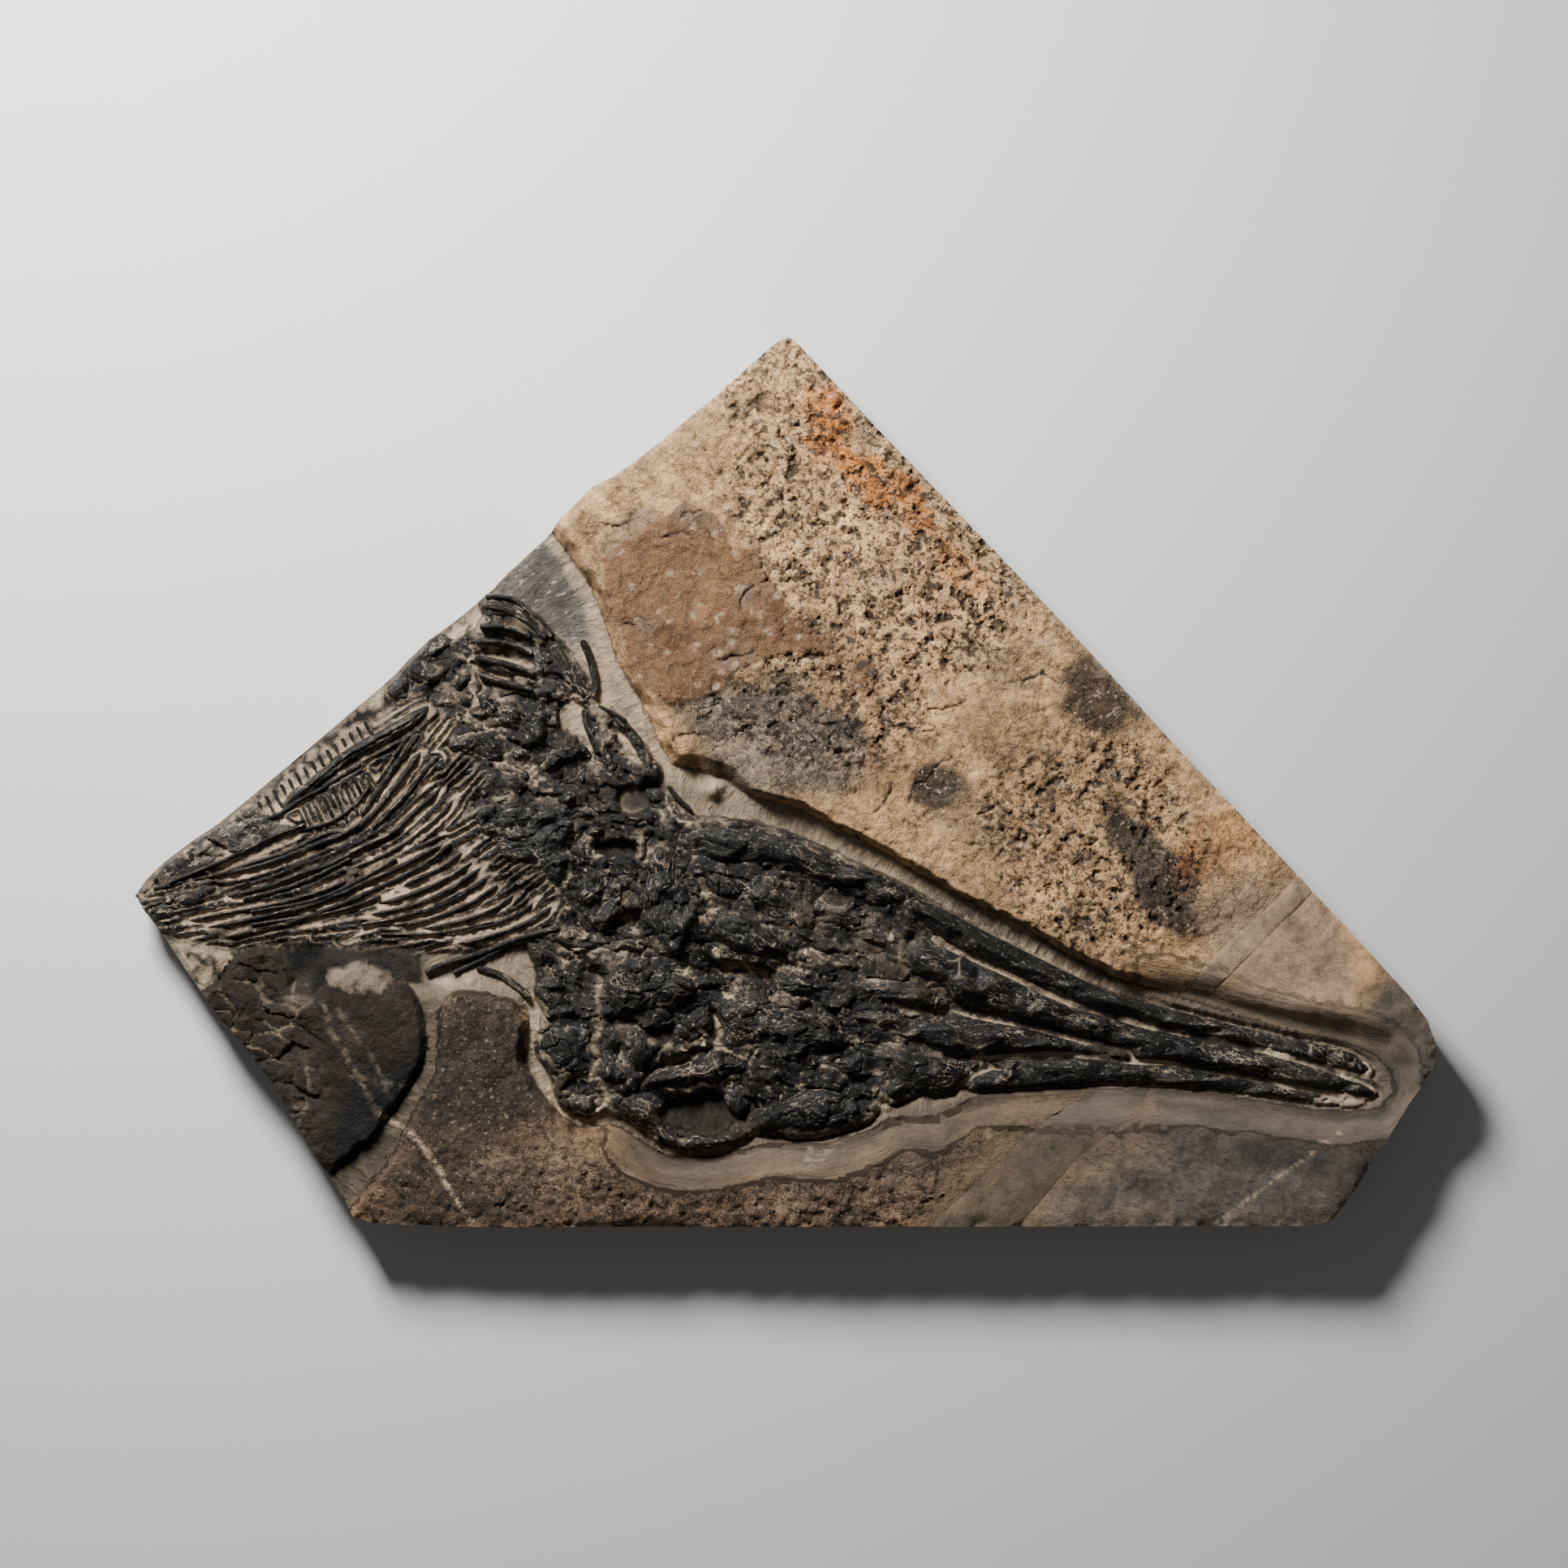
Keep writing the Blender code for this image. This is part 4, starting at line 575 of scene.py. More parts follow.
solids = {n: solidOf(n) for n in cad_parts}
for name in boneNames:
    if name.startswith(("fan_rib", "long_rib", "curved_rib")):
        solids[name] = (solids[name][0], grown(solids[name][1], ribGrow))
boneMask, boneTall = np.zeros(gridX.shape, bool), np.zeros(gridX.shape)
for name in boneNames:
    outline = solids[name][1]
    xs, ys = [p[0] for p in outline], [p[1] for p in outline]
    c0, c1 = (int((end(xs) - gridStart[0]) / gridStep) for end in (min, max))
    r0, r1 = (int((end(ys) - gridStart[1]) / gridStep) for end in (min, max))
    part = np.s_[max(r0 - 1, 0):r1 + 2, max(c0 - 1, 0):c1 + 2]
    covered = insideOf(gridX[part], gridY[part], outline)
    boneMask[part] |= covered
    boneTall[part] = np.where(covered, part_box(name)[1].z / mm - boneBase, boneTall[part])
boneNear = spread(boneMask, boneReach) * gridStep
narrowGrid, wideGrid = (
    ease((spread(boneNear >= gap["open"], gap["cells"]) * gridStep - gap["free"]) / gap["soft"])
    for gap in (narrowGaps, wideGaps))
skullAndNeck = (gridX > -225) & (gridX < 110) & ((gridY < -20) | (gridX < -140))
massGrid = np.maximum(narrowGrid, wideGrid * skullAndNeck)
levelGrid = blurred(boneTall, levelBlurs) / np.maximum(blurred(boneMask.astype(float), levelBlurs), 0.02)
# hollows and pale worked patches as (x, y, reach across, reach up, turn in degrees, strength)
hollows = [
    (-104, -40, 13, 6, 0, 1.0), (-118, -122, 8, 10, 0, 0.7), (-75, -156, 8, 5, 0, 0.9),
    (-52, -206, 27, 13, 0, 1.0), (40, -101, 26, 9, -20, 0.55), (-120, -101, 20, 2.5, 0, 0.5),
    (-22, -118, 20, 5, -10, 0.9), (-43, -150, 5, 11, 0, 0.9), (-64, -172, 24, 3.5, 25, 0.9),
    (150, -147, 55, 4, -16, 0.8), (-96, -86, 10, 5, 0, 0.8), (-86, -8, 14, 9, 20, 1.0),
    (-198, 97, 14, 6, 38, 0.9), (-172, 77, 16, 19, 0, 0.7), (-125, 30, 6, 22, 15, 0.9),
    (-98, 30, 7, 20, 30, 0.8), (-144, 62, 5, 14, 0, 0.5)]
creamSpots = [
    (-120, -102, 20, 3.5, 0, 0.8), (-96, -86, 9, 5, 0, 0.9), (-24, -118, 15, 5, -10, 0.95),
    (-43, -150, 4.5, 11, 0, 0.9), (-64, -172, 26, 3.5, 25, 0.9), (-194, 98, 16, 9, 38, 1.0),
    (-340, -14, 14, 4, 38, 0.8), (-292, 12, 42, 6, 37, 0.8), (-255, 52, 9, 6, 40, 0.8),
    (-245, 40, 6, 6, 0, 0.7), (-125, 30, 6, 22, 15, 0.9), (-98, 28, 8, 20, 30, 0.9),
    (-118, 60, 8, 26, 25, 0.9), (-362, -112, 24, 14, 0, 0.85), (-115, -200, 5, 8, 0, 0.8),
    (-172, 77, 17, 20, 0, 1.0), (-280, -20, 12, 12, 0, 0.35), (-116, -150, 2, 34, 0, 0.8)]
eyeSpots = [(38, -88, 34, 14, -28, 1.0), (56, -100, 14, 9, -20, 1.0)]


def spotsAt(x, y, spots, seed=45):
    # how far each place lies inside any of the listed ragged ovals
    px, py = shaken(x, y, 9, 3, (seed, seed + 1), 3)
    cover = np.zeros(x.shape)
    for *oval, strength in spots:
        cover = np.maximum(cover, strength * ease((1.3 - ovalReach(px, py, *oval)) / 0.5))
    return cover


def gridAt(grid, x, y, start=gridStart, step=gridStep):
    # values of a grid between its own places
    u = np.clip((x - start[0]) / step, 0, grid.shape[1] - 1.001)
    v = np.clip((y - start[1]) / step, 0, grid.shape[0] - 1.001)
    i, j = np.floor(u).astype(int), np.floor(v).astype(int)
    fx, fy = u - i, v - j
    return (grid[j, i] * (1 - fx) + grid[j, i + 1] * fx) * (1 - fy) \
        + (grid[j + 1, i] * (1 - fx) + grid[j + 1, i + 1] * fx) * fy


# the field of ribs: how near the next rib is, on a finer grid, for the ridges between them
ribField = [(-402, -75), (-384, -64), (-352, -44), (-318, -14), (-290, 8), (-255, 36), (-232, 52), (-212, 44),
            (-196, 16), (-172, -8), (-150, -40), (-138, -70), (-142, -90), (-175, -103), (-222, -104),
            (-250, -99), (-300, -99), (-352, -101), (-388, -92)]
stripes = {"step": 0.75, "start": (-405, -125), "end": (-110, 115), "pitch": 4.0, "lift": 1.6, "reach": 46}
stripeX, stripeY = np.meshgrid(
    *(np.arange(*ends, stripes["step"]) for ends in zip(stripes["start"], stripes["end"])))
ribMask = np.zeros(stripeX.shape, bool)


def runOn(outline, reach, half=0.4):
    # a thin strip from each end of a rib, in the direction in which it leaves
    pts = np.array(outline)
    axis = np.linalg.eigh((pts - pts.mean(0)).T @ (pts - pts.mean(0)))[1][:, 1]
    strips = []
    for way in (axis, -axis):
        u = pts @ way
        tip, back = pts[u > u.max() - 8].mean(0), pts[(u > u.max() - 34) & (u < u.max() - 14)]
        lead = tip - (back.mean(0) if len(back) else pts.mean(0))
        lead = lead / max(np.hypot(*lead), 1e-6)
        side = np.array((-lead[1], lead[0])) * half
        far = tip + lead * reach
        strips.append([tuple(p) for p in (tip - side, far - side, far + side, tip + side)])
    return strips


for name in boneNames:
    if name.startswith(("fan_rib", "long_rib")):
        for strip in runOn(solids[name][1], stripes["reach"]):
            ribMask |= insideOf(stripeX, stripeY, strip)
allRibs = [solids[name][1] for name in boneNames if "rib" in name]
allRibs += [ribOutline(path, width)[0] for path, width, tall in thinRibs]
for outline in allRibs:
    ribMask |= insideOf(stripeX, stripeY, outline)
ribNear = blurred(spread(ribMask, 26) * stripes["step"], 1)
ribZone = blurred(insideOf(gridX, gridY, ribField).astype(float), 8)
fillShare = (0.5 + 0.02 * ribZone) * (1 - 0.75 * ease((gridX - snoutStart) / 60))
fillGrid = np.maximum(massGrid, ribZone * 0.9) * levelGrid * fillShare * (1 - spotsAt(gridX, gridY, hollows))


def ribStripes(x, y):
    # ridges that run along the ribs, from -1 in the furrows to 1 on the crests, with how much they count
    near = gridAt(ribNear, x, y, stripes["start"], stripes["step"]) + 0.5 * layered(x, y, 9, 3, 37)
    wave = -np.cos(near * 2 * math.pi / stripes["pitch"])
    close = ease((9.5 - near) / 4)
    return wave, gridAt(ribZone, x, y) * close * ease(1.15 + layered(x, y, 30, 3, 39))


def crushedField(x, y):
    # big and small broken blocks of bone: their lift, the cracks round each kind, and the big one's value
    px, py = shaken(x, y, 14, 4, (35, 36), 4)
    pu, pv = px * 0.95 - py * 0.3, px * 0.3 + py * 0.95
    first, second, value, tilt = cellsAt(pu * 0.5, pv, 11.0, 23)
    firstSmall, secondSmall, valueSmall, tiltSmall = cellsAt(pu * 0.6, pv, 4.8, 29)
    crack = np.exp(-((second - first) / 0.1) ** 2)
    crackSmall = np.exp(-((secondSmall - firstSmall) / 0.16) ** 2)
    quiet = 1 - 0.8 * ease((x - 85) / 50)
    lift = tilt * 7 + (value - 0.5) * 3 - 1.5 * crack \
        + tiltSmall * 2.4 + (valueSmall - 0.5) * 1.2 - 0.5 * crackSmall
    return lift * quiet, crack ** 3 * quiet, crackSmall ** 3 * quiet, value


print("stage: bone map ready")

# bones: grid steps, how round the edges are, and how broken the surface is
boneSizes = {"step": 0.9, "ribStep": 0.62, "round": 0.8,
             "ribRound": 0.9, "groove": 0.45, "crack": 1.2, "crackSize": 11.0, "tilt": 5.0, "flake": 1.2,
             "rag": 0.7, "sunk": 28.4}
bars = ("upper_jaw_bar", "middle_jaw_bar", "lower_jaw_bar", "jaw_side_plate", "hollow_rim", "throat_bar")
greyBones = ("corner_rib_bundle", "short_rib_fan")


def isLoneRib(name):
    return "rib" in name and name not in greyBones


def boneGrain(name, x, y):
    # the bone's own seed, coordinates along and across it, its broken cells, and the distance from its rim
    outline = solids[name][1]
    seed = sum(ord(c) for c in name)
    pts = np.array(outline) - np.mean(outline, 0)
    axis = np.linalg.eigh(pts.T @ pts)[1][:, 1]
    u, v = x * axis[0] + y * axis[1], y * axis[0] - x * axis[1]
    wu, wv = u + layered(x, y, 12, 4, seed) * 3, v + layered(x, y, 12, 4, seed + 40) * 3
    stretch = 0.42 if name in bars or "rib" in name else 0.7
    cells = cellsAt(wu * stretch, wv, boneSizes["crackSize"], seed)
    d, along = lineField(x, y, outline, True)[:2]
    if isLoneRib(name):
        wu, wv = along * 0.6, d * 1.4
    return seed, wu, wv, cells, d


def boneHeights(name, x, y):
    cad = blurred(heightsOf(solids[name][0], x, y), 2)
    seed, u, v, (first, second, value, tilt), d = boneGrain(name, x, y)
    isRib = isLoneRib(name)
    tall = np.maximum(cad - boneBase, 0.6)
    snout = ease((x - snoutStart) / 60)
    calm = 0.4 if isRib else 0.2 if name in bars else 1.0
    leaning = 0.22 if isRib else 0.14 if name in bars else 1.0
    z = tall * (1 - 0.8 * np.exp(-(d + 0.1) / boneSizes["ribRound" if isRib else "round"]))
    grooves = noiseAt(u * 0.12, v, 2.6, seed) + 0.6 * noiseAt(u * 0.1, v * 1.7, 2.6, seed + 3)
    z += boneSizes["groove"] * (1.4 - 0.5 * calm) * grooves * ease(d / 1.2)
    calm = calm * (1 - 0.6 * snout)
    z -= boneSizes["crack"] * np.exp(-((second - first) / 0.08) ** 2) * calm
    z += (tilt * boneSizes["tilt"] + (value - 0.5) * 1.8) * leaning * ease(d / 2) * (1 - 0.7 * snout)
    flake = layered(u * 0.6, v, 7, 4, seed + 11)
    steps = np.floor(flake * 2.4) / 2.4 - flake * 0.3
    z += boneSizes["flake"] * steps * ease(d / 1.5) * (0.3 + 0.9 * calm) * (1 - 0.5 * snout)
    z += boneSizes["rag"] * layered(u * 0.5, v, 3.4, 3, seed + 19) * (0.35 + 0.65 * calm)
    return boneBase + np.clip(z, 0.3, tall + 0.5)


boneColours = {"black": (0.009, 0.0084, 0.0075), "grey": (0.044, 0.04, 0.034), "cream": (0.46, 0.36, 0.26),
               "brown": (0.06, 0.043, 0.03), "flaky": (0.11, 0.085, 0.062)}


def eyeFill(x, y):
    # the flaky grey-brown filling of the eye socket
    return spotsAt(x, y, eyeSpots, 52) * ease(0.55 + layered(x, y, 9, 4, 53) * 1.3)


def boneTone(name, x, y, z):
    # colour, gloss, cover of pits, flecks and cracks, and the grain of each point of a bone
    seed, u, v, cells = boneGrain(name, x, y)[:4]
    first, second, value = cells[:3]
    level = floorLevel + gridAt(fillGrid, x, y)
    low = np.exp(-np.clip(z - level + 0.4, 0, 99) / 0.8)
    patch = ease(layered(x, y, 16, 4, seed + 3) * 1.6 - 0.2)
    brown = ease(layered(x, y, 24, 3, seed + 13) * 1.5 - 0.5) * 0.6
    dusty = ease((0.25 if "rib" in name else 0.1) + 1.4 * layered(u * 0.4, v, 9, 4, seed + 8))
    dust = (0.3 if name in bars else 0.9) * low * dusty
    crack = np.exp(-((second - first) / 0.04) ** 2) * ease(layered(x, y, 18, 3, seed + 6) * 1.6 - 0.3)
    dust = np.clip(np.maximum(dust, crack * 0.8), 0, 1) * 0.85
    black, grey, cream, rust = (np.array(boneColours[k]) for k in ("black", "grey", "cream", "brown"))
    if name in greyBones:
        black, grey = grey * 0.7, grey * 1.8
    worn = 0.12 if name in bars else 0.08
    rgb = black + (grey - black) * (worn + 0.35 * patch + 0.35 * np.abs(value - 0.5))[:, None]
    rgb = rgb + (rust - rgb) * brown[:, None]
    rgb = rgb + (np.array(boneColours["flaky"]) - rgb) * (eyeFill(x, y) * 0.55)[:, None]
    rgb = rgb + (cream - rgb) * dust[:, None]
    threads = ease(layered(x, y, 26, 3, seed + 21) * 1.4 + 0.25)
    flecks = ease(layered(x, y, 20, 3, seed + 23) * 1.4 + 0.1)
    return rgb, 0.95 - dust - 0.35 * patch, (flecks * 0, flecks, threads), (u * 0.4, v, z)


for name in boneNames:
    piece = reliefPiece("bone_" + name, solids[name][1], boneSizes["ribStep" if isLoneRib(name) else "step"],
                        lambda x, y, n=name: boneHeights(n, x, y), (boneSizes["sunk"],))
    x, y, z = pointsOf(piece)
    paint(piece, *boneTone(name, x, y, z))
    grey = name in greyBones
    handOver(piece, greyBoneLook if grey else boneLook, name)
print("stage: bones made", len(boneNames))


def thinRibHeights(x, y, line, width, tall, seed):
    # a round back along the path, on part of the matrix between the bones
    r = lineField(x, y, line)[0] / (width / 2)
    z = tall * np.sqrt(np.clip(1.05 - r * r, 0.02, 1))
    z += 0.5 * layered(x, y, 3, 3, seed) + 0.4 * layered(x, y, 12, 2, seed + 5)
    return floorLevel + 0.35 * gridAt(fillGrid, x, y) + z


for k, (path, width, tall) in enumerate(thinRibs):
    outline, line = ribOutline(path, width)
    piece = reliefPiece(f"thin_rib_{k + 1:02d}", outline, boneSizes["ribStep"],
                        lambda x, y, a=line, b=width, c=tall, s=k: thinRibHeights(x, y, a, b, c, 300 + s),
                        (boneSizes["sunk"],))
    x, y, z = pointsOf(piece)
    solids[piece.name] = (None, outline)
    paint(piece, *boneTone(piece.name, x, y, z))
    handOver(piece, boneLook)
print("stage: thin ribs made", len(thinRibs))

# stone: the palette, and the colours by place as (x, y, reach across, reach up, turn, colour, strength)
stonePalette = {
    "tan": (0.64, 0.385, 0.185), "brown": (0.2, 0.105, 0.053), "orange": (0.64, 0.21, 0.04),
    "cream": (0.62, 0.47, 0.31), "grey": (0.165, 0.13, 0.1), "umber": (0.058, 0.04, 0.027),
    "slate": (0.03, 0.028, 0.027), "sand": (0.115, 0.093, 0.074), "black": (0.007, 0.007, 0.0065),
    "matrix": (0.02, 0.0185, 0.0165), "dust": (0.28, 0.215, 0.15), "filler": (0.155, 0.109, 0.068),
    "shale": (0.1, 0.087, 0.075), "mud": (0.055, 0.04, 0.029), "lowTan": (0.24, 0.165, 0.105),
    "lowBrown": (0.17, 0.105, 0.063), "sanded": (0.4, 0.265, 0.165), "slope": (0.12, 0.09, 0.063),
    "flaky": (0.1, 0.075, 0.053), "rust": (0.2, 0.085, 0.04),
    "bone": boneColours["black"], "boneGrey": boneColours["grey"]}
stoneZones = [
    (-205, -225, 80, 60, 0, "umber", 1.0), (-60, -250, 200, 50, 0, "lowBrown", 0.8),
    (60, 140, 120, 95, -30, "tan", 0.9), (0, 235, 45, 40, 0, "tan", 0.6),
    (30, 75, 60, 14, -38, "brown", 0.7), (28, 216, 12, 22, -20, "orange", 0.9),
    (46, 190, 10, 26, 35, "orange", 0.8), (78, 172, 9, 24, 40, "orange", 0.75),
    (110, 130, 9, 22, 42, "orange", 0.4), (20, 235, 10, 8, 0, "orange", 0.5),
    (-5, 27, 62, 34, -20, "grey", 0.9), (10, 48, 40, 18, -30, "slate", 0.45),
    (-95, 150, 22, 14, 30, "grey", 0.6), (60, 10, 26, 12, -60, "rust", 0.35),
    (92, -5, 20, 15, -20, "umber", 0.97), (165, -30, 34, 45, 0, "tan", 0.35),
    (118, -28, 30, 20, -30, "grey", 0.4), (229, -55, 20, 48, 30, "slate", 0.9),
    (194, 55, 34, 26, -40, "umber", 0.92), (150, 20, 44, 24, -40, "brown", 0.45),
    (268, -40, 20, 34, -45, "orange", 0.25), (130, 70, 24, 12, -40, "grey", 0.4),
    (305, -103, 60, 34, -35, "sanded", 1.0), (300, -215, 150, 52, 0, "sand", 1.0),
    (322, -232, 46, 22, 0, "slate", 0.5), (290, -235, 30, 16, 0, "slate", 0.35),
    (385, -165, 30, 56, 0, "sand", 0.95), (290, -262, 150, 22, 0, "sand", 0.9),
    (-80, -252, 190, 26, 0, "lowBrown", 0.9), (60, -240, 90, 30, 0, "lowTan", 0.7),
    (-186, -165, 34, 52, 0, "mud", 1.0), (-196, -245, 50, 26, 0, "mud", 0.7),
    (-150, -238, 40, 18, 0, "lowTan", 0.6), (150, -225, 80, 26, 0, "lowTan", 0.7),
    (20, -256, 80, 10, 0, "lowBrown", 0.6)]
# pocked and smooth parts of the main slab, the dusty lens and a dusty spot on the island, as the hollows are
pockedSpots = [(60, 150, 95, 80, -30, 1.0), (10, 60, 75, 45, -20, 0.8), (190, -40, 60, 70, 30, 0.7),
               (0, 240, 40, 30, 0, 0.6), (-60, -255, 190, 20, 0, 0.5)]
calmSpots = [(-55, 118, 40, 56, 20, 1.0), (92, -5, 20, 14, -20, 0.8), (305, -103, 50, 30, -35, 1.0)]
lensSpots = [(-264, -121, 19, 8, 0, 1.0)]
dustSpots = [(-300, -134, 9, 3, -15, 0.5)]
smoothPatch = [(-112, 138), (-99, 149), (-85, 157), (-72, 165), (-62, 172.5), (-51, 168.5), (-38, 157),
               (-34, 147.5), (-18, 142), (-11, 124.5), (1, 109.5), (18, 94), (29, 84.5), (26, 78.5),
               (1, 80.5), (-26, 72), (-41, 56), (-70, 46), (-84, 55), (-95, 72), (-102, 92), (-110, 112)]
shalePatch = [(-192, 112), (-170, 137), (-152, 152), (-141, 141), (-131, 125), (-127, 108), (-122, 92),
              (-130, 80), (-146, 96), (-158, 108)]
# veins as a line and a width, and cracks as lines
veins = [
    ([(36.7, -218), (-13, -268)], 0.5), ([(16.7, -228), (4, -270)], 0.5), ([(346, -213), (267, -270)], 0.6),
    ([(172, 97), (157, 67)], 0.5),
    ([(-284, -135), (-281, -151), (-272, -165), (-262, -182), (-255, -197), (-250, -205)], 0.4),
    ([(-250, -205), (-240, -210), (-232, -215), (-222, -225), (-213, -238), (-206, -252), (-190, -274)],
     1.25),
    ([(-275, -140), (-262, -158), (-252, -173), (-240, -200)], 0.3),
    ([(-294, -172), (-293, -195), (-300, -212)], 0.4), ([(-292, -176), (-262, -182), (-228, -189)], 0.2)]
crackLines = [
    [(-28, 107), (-26, 115), (-18, 121), (-9, 124)], [(-62, 161), (-61, 165), (-51, 167.5)],
    [(89, 44), (93, 46), (106, 47), (112, 50)], [(-41, 75), (-28, 77), (-18, 80.5)], [(-101, 98), (-93, 97)],
    [(75, -11), (83, -2), (91, 4), (102, 17.5)], [(60, 33), (70, 36), (84, 31), (92, 34)],
    [(-70, 27), (-55, 30), (-40, 26), (-28, 31)], [(14, 40), (24, 34), (31, 36), (42, 28)],
    [(120, -20), (131, -14), (140, -19)], [(-112, 160), (-101, 158), (-92, 162)],
    [(-75, 150), (-68, 154), (-57, 152)], [(146, 62), (157, 66), (170, 60)], [(55, -20), (63, -12), (66, 0)]]
stoneSizes = {"step": 1.05, "share": 0.38, "drift": 1.5,
              "walls": (38, 22, 8, 0), "ledges": 3.5, "ledge": 2.6, "rough": 0.85, "pits": 2.0, "crack": 1.6,
              "layer": 1.1, "rubble": 0.75, "chips": 2.4, "strokes": 0.9, "bank": 1.4, "bankReach": 1.6,
              "slope": 18.0, "lowBank": 7.5, "seam": 0.16, "vein": 0.85, "grainTurn": -32}


def stoneFields(x, y):
    # distance to the foot of the trough's wall, how far along it, what lies in the trough, and the island
    foot, along = lineField(x, y, troughFoot)[:2]
    trough = insideOf(x, y, troughFoot + [(-500, -300), (-500, 200)])
    island = insideOf(x, y, darkIsland) & trough
    return foot, along, trough, island


def pockCover(x, y):
    # how pocked the weathered stone is, from 0 to 1
    wide, calm = spotsAt(x, y, pockedSpots, 47), spotsAt(x, y, calmSpots, 49)
    return np.clip(0.25 + wide, 0, 1) * (1 - calm * 0.85)


def ledgeField(x, y):
    # each whole number in it is the edge of a ledge
    return layered(x, y, 62, 6, 3) * stoneSizes["ledges"] + layered(x, y, 6, 4, 8) * 0.35


def pitCover(x, y):
    # where the single pits lie, from 0 to 1
    return ease((-layered(x, y, 5.5, 4, 22, 0.6) - 0.24) * 3.4)


def patchDepth(x, y, outline, ragged=3.0):
    # how far inside an outline a place lies, below 0 outside it, with a ragged edge
    px, py = shaken(x, y, 13, 5, (63, 65), ragged)
    d = lineField(px, py, outline, True)[0]
    return np.where(insideOf(px, py, outline), d, -d)


def crackDistances(x, y):
    # how far each place lies from every drawn crack, one crack after the other
    px, py = shaken(x, y, 7, 3, (15, 17), 2)
    return [lineField(px, py, line)[0] for line in crackLines]


def belowJaws(x, y, level, soft):
    # 1 below a level and round the end of the snout, 0 above the jaws
    return np.maximum(ease((level - y) / soft), ease((x - 195) / 60))


def workedSide(x, y):
    # the stone below the jaws and all round the snout, which was worked down to the bones
    return ease((x + 128) / 46) * ease((398 - x) / 14) * belowJaws(x, y, -165, 8)


def lowerSlope(x, y, foot, trough):
    # the slope worked into that stone: 1 on it, 0 off it
    reach = stoneSizes["slope"] + 7 + 4 * layered(x, y, 40, 2, 67)
    return workedSide(x, y) * (~trough) * ease((reach - foot) / 8)


def lowerBank(x, y):
    # how far the worked stone rises above the floor, up to half the height of the bones beside it
    return stoneSizes["lowBank"] * (1 - 0.5 * ease((x - 60) / 300)) * ease((x + 60) / 100) \
        * ease((392 - x) / 12) * belowJaws(x, y, -150, 14)


def slabRim(x, y):
    # distance to the slab's own outer edge, the repaired seam left out
    best = np.full(x.shape, 1e9)
    for name in stones:
        ring = solids[name][1]
        for a, b in zip(ring, ring[1:] + ring[:1]):
            midX, midY = np.array([(a[0] + b[0]) / 2]), np.array([(a[1] + b[1]) / 2])
            others = [solids[n][1] for n in stones if n != name]
            if not any(lineField(midX, midY, other, True)[0][0] < 1.0 for other in others):
                best = np.minimum(best, lineField(x, y, [a, b])[0])
    return best


def plateauRelief(name, x, y, island):
    # ledges, roughness and pits of the weathered stone
    main = name == "slab_main"
    pocked = pockCover(x, y) if main else 0.12
    ledges = np.floor(ledgeField(x, y)) / stoneSizes["ledges"]
    rough = ledges * stoneSizes["ledge"] * (1 if main else 0.0) * np.where(island, 0.25, 1.0) \
        + layered(x, y, 5, 4, 9) * stoneSizes["rough"] * (0.3 + 1.1 * pocked)
    return rough - stoneSizes["pits"] * pitCover(x, y) * pocked * ~island


def mainSlabRelief(x, y, h, plateau, foot, island):
    # the step of the smooth layer, the drawn cracks, and the rubble on the island's left part
    layer = patchDepth(x, y, smoothPatch)
    h += plateau * stoneSizes["layer"] * (ease(layer / 1.2 + 0.5) - 0.5)
    for d in crackDistances(x, y):
        h -= plateau * stoneSizes["crack"] * np.exp(-(d / 0.8) ** 2)
    wildLeft = patchDepth(x, y, darkIsland) > 0
    rubble = crushedField(x, y)[0] * ease((-284 - x + 9 * layered(x, y, 12, 3, 97)) / 14)
    h += island * wildLeft * rubble * stoneSizes["rubble"] * ease(foot / 5)
    return h


def floorRelief(x, y, foot, along):
    # the carved floor: tool strokes, a bank at each bone, the crushed matrix, and the ridges between the ribs
    fill, near = gridAt(fillGrid, x, y), gridAt(boneNear, x, y)
    strokes = noiseAt(along, foot * 0.3, 1.7, 5) * (0.25 + np.exp(-((foot - 5) / 8) ** 2))
    lift = crushedField(x, y)[0]
    wave, ribShare = ribStripes(x, y)
    bank = stoneSizes["bank"] * np.exp(-near / stoneSizes["bankReach"]) \
        * (0.7 + 0.5 * layered(x, y, 5, 3, 13))
    filled = np.clip(fill / 3, 0, 1)
    relief = lift * (1 - ribShare) * filled + wave * stripes["lift"] * ribShare \
        + layered(x, y, 3.2, 3, 26) * 0.6 * filled
    uneven = layered(x, y, 7, 4, 25)
    low = stoneSizes["strokes"] * strokes * (1 - filled) + uneven * 0.7 + bank + fill + relief
    bankUp = lowerBank(x, y) * ease((near - 1.5) / 4)
    return np.maximum(low * ease((foot + 0.5) / 2.5), bankUp + 0.3 * uneven)


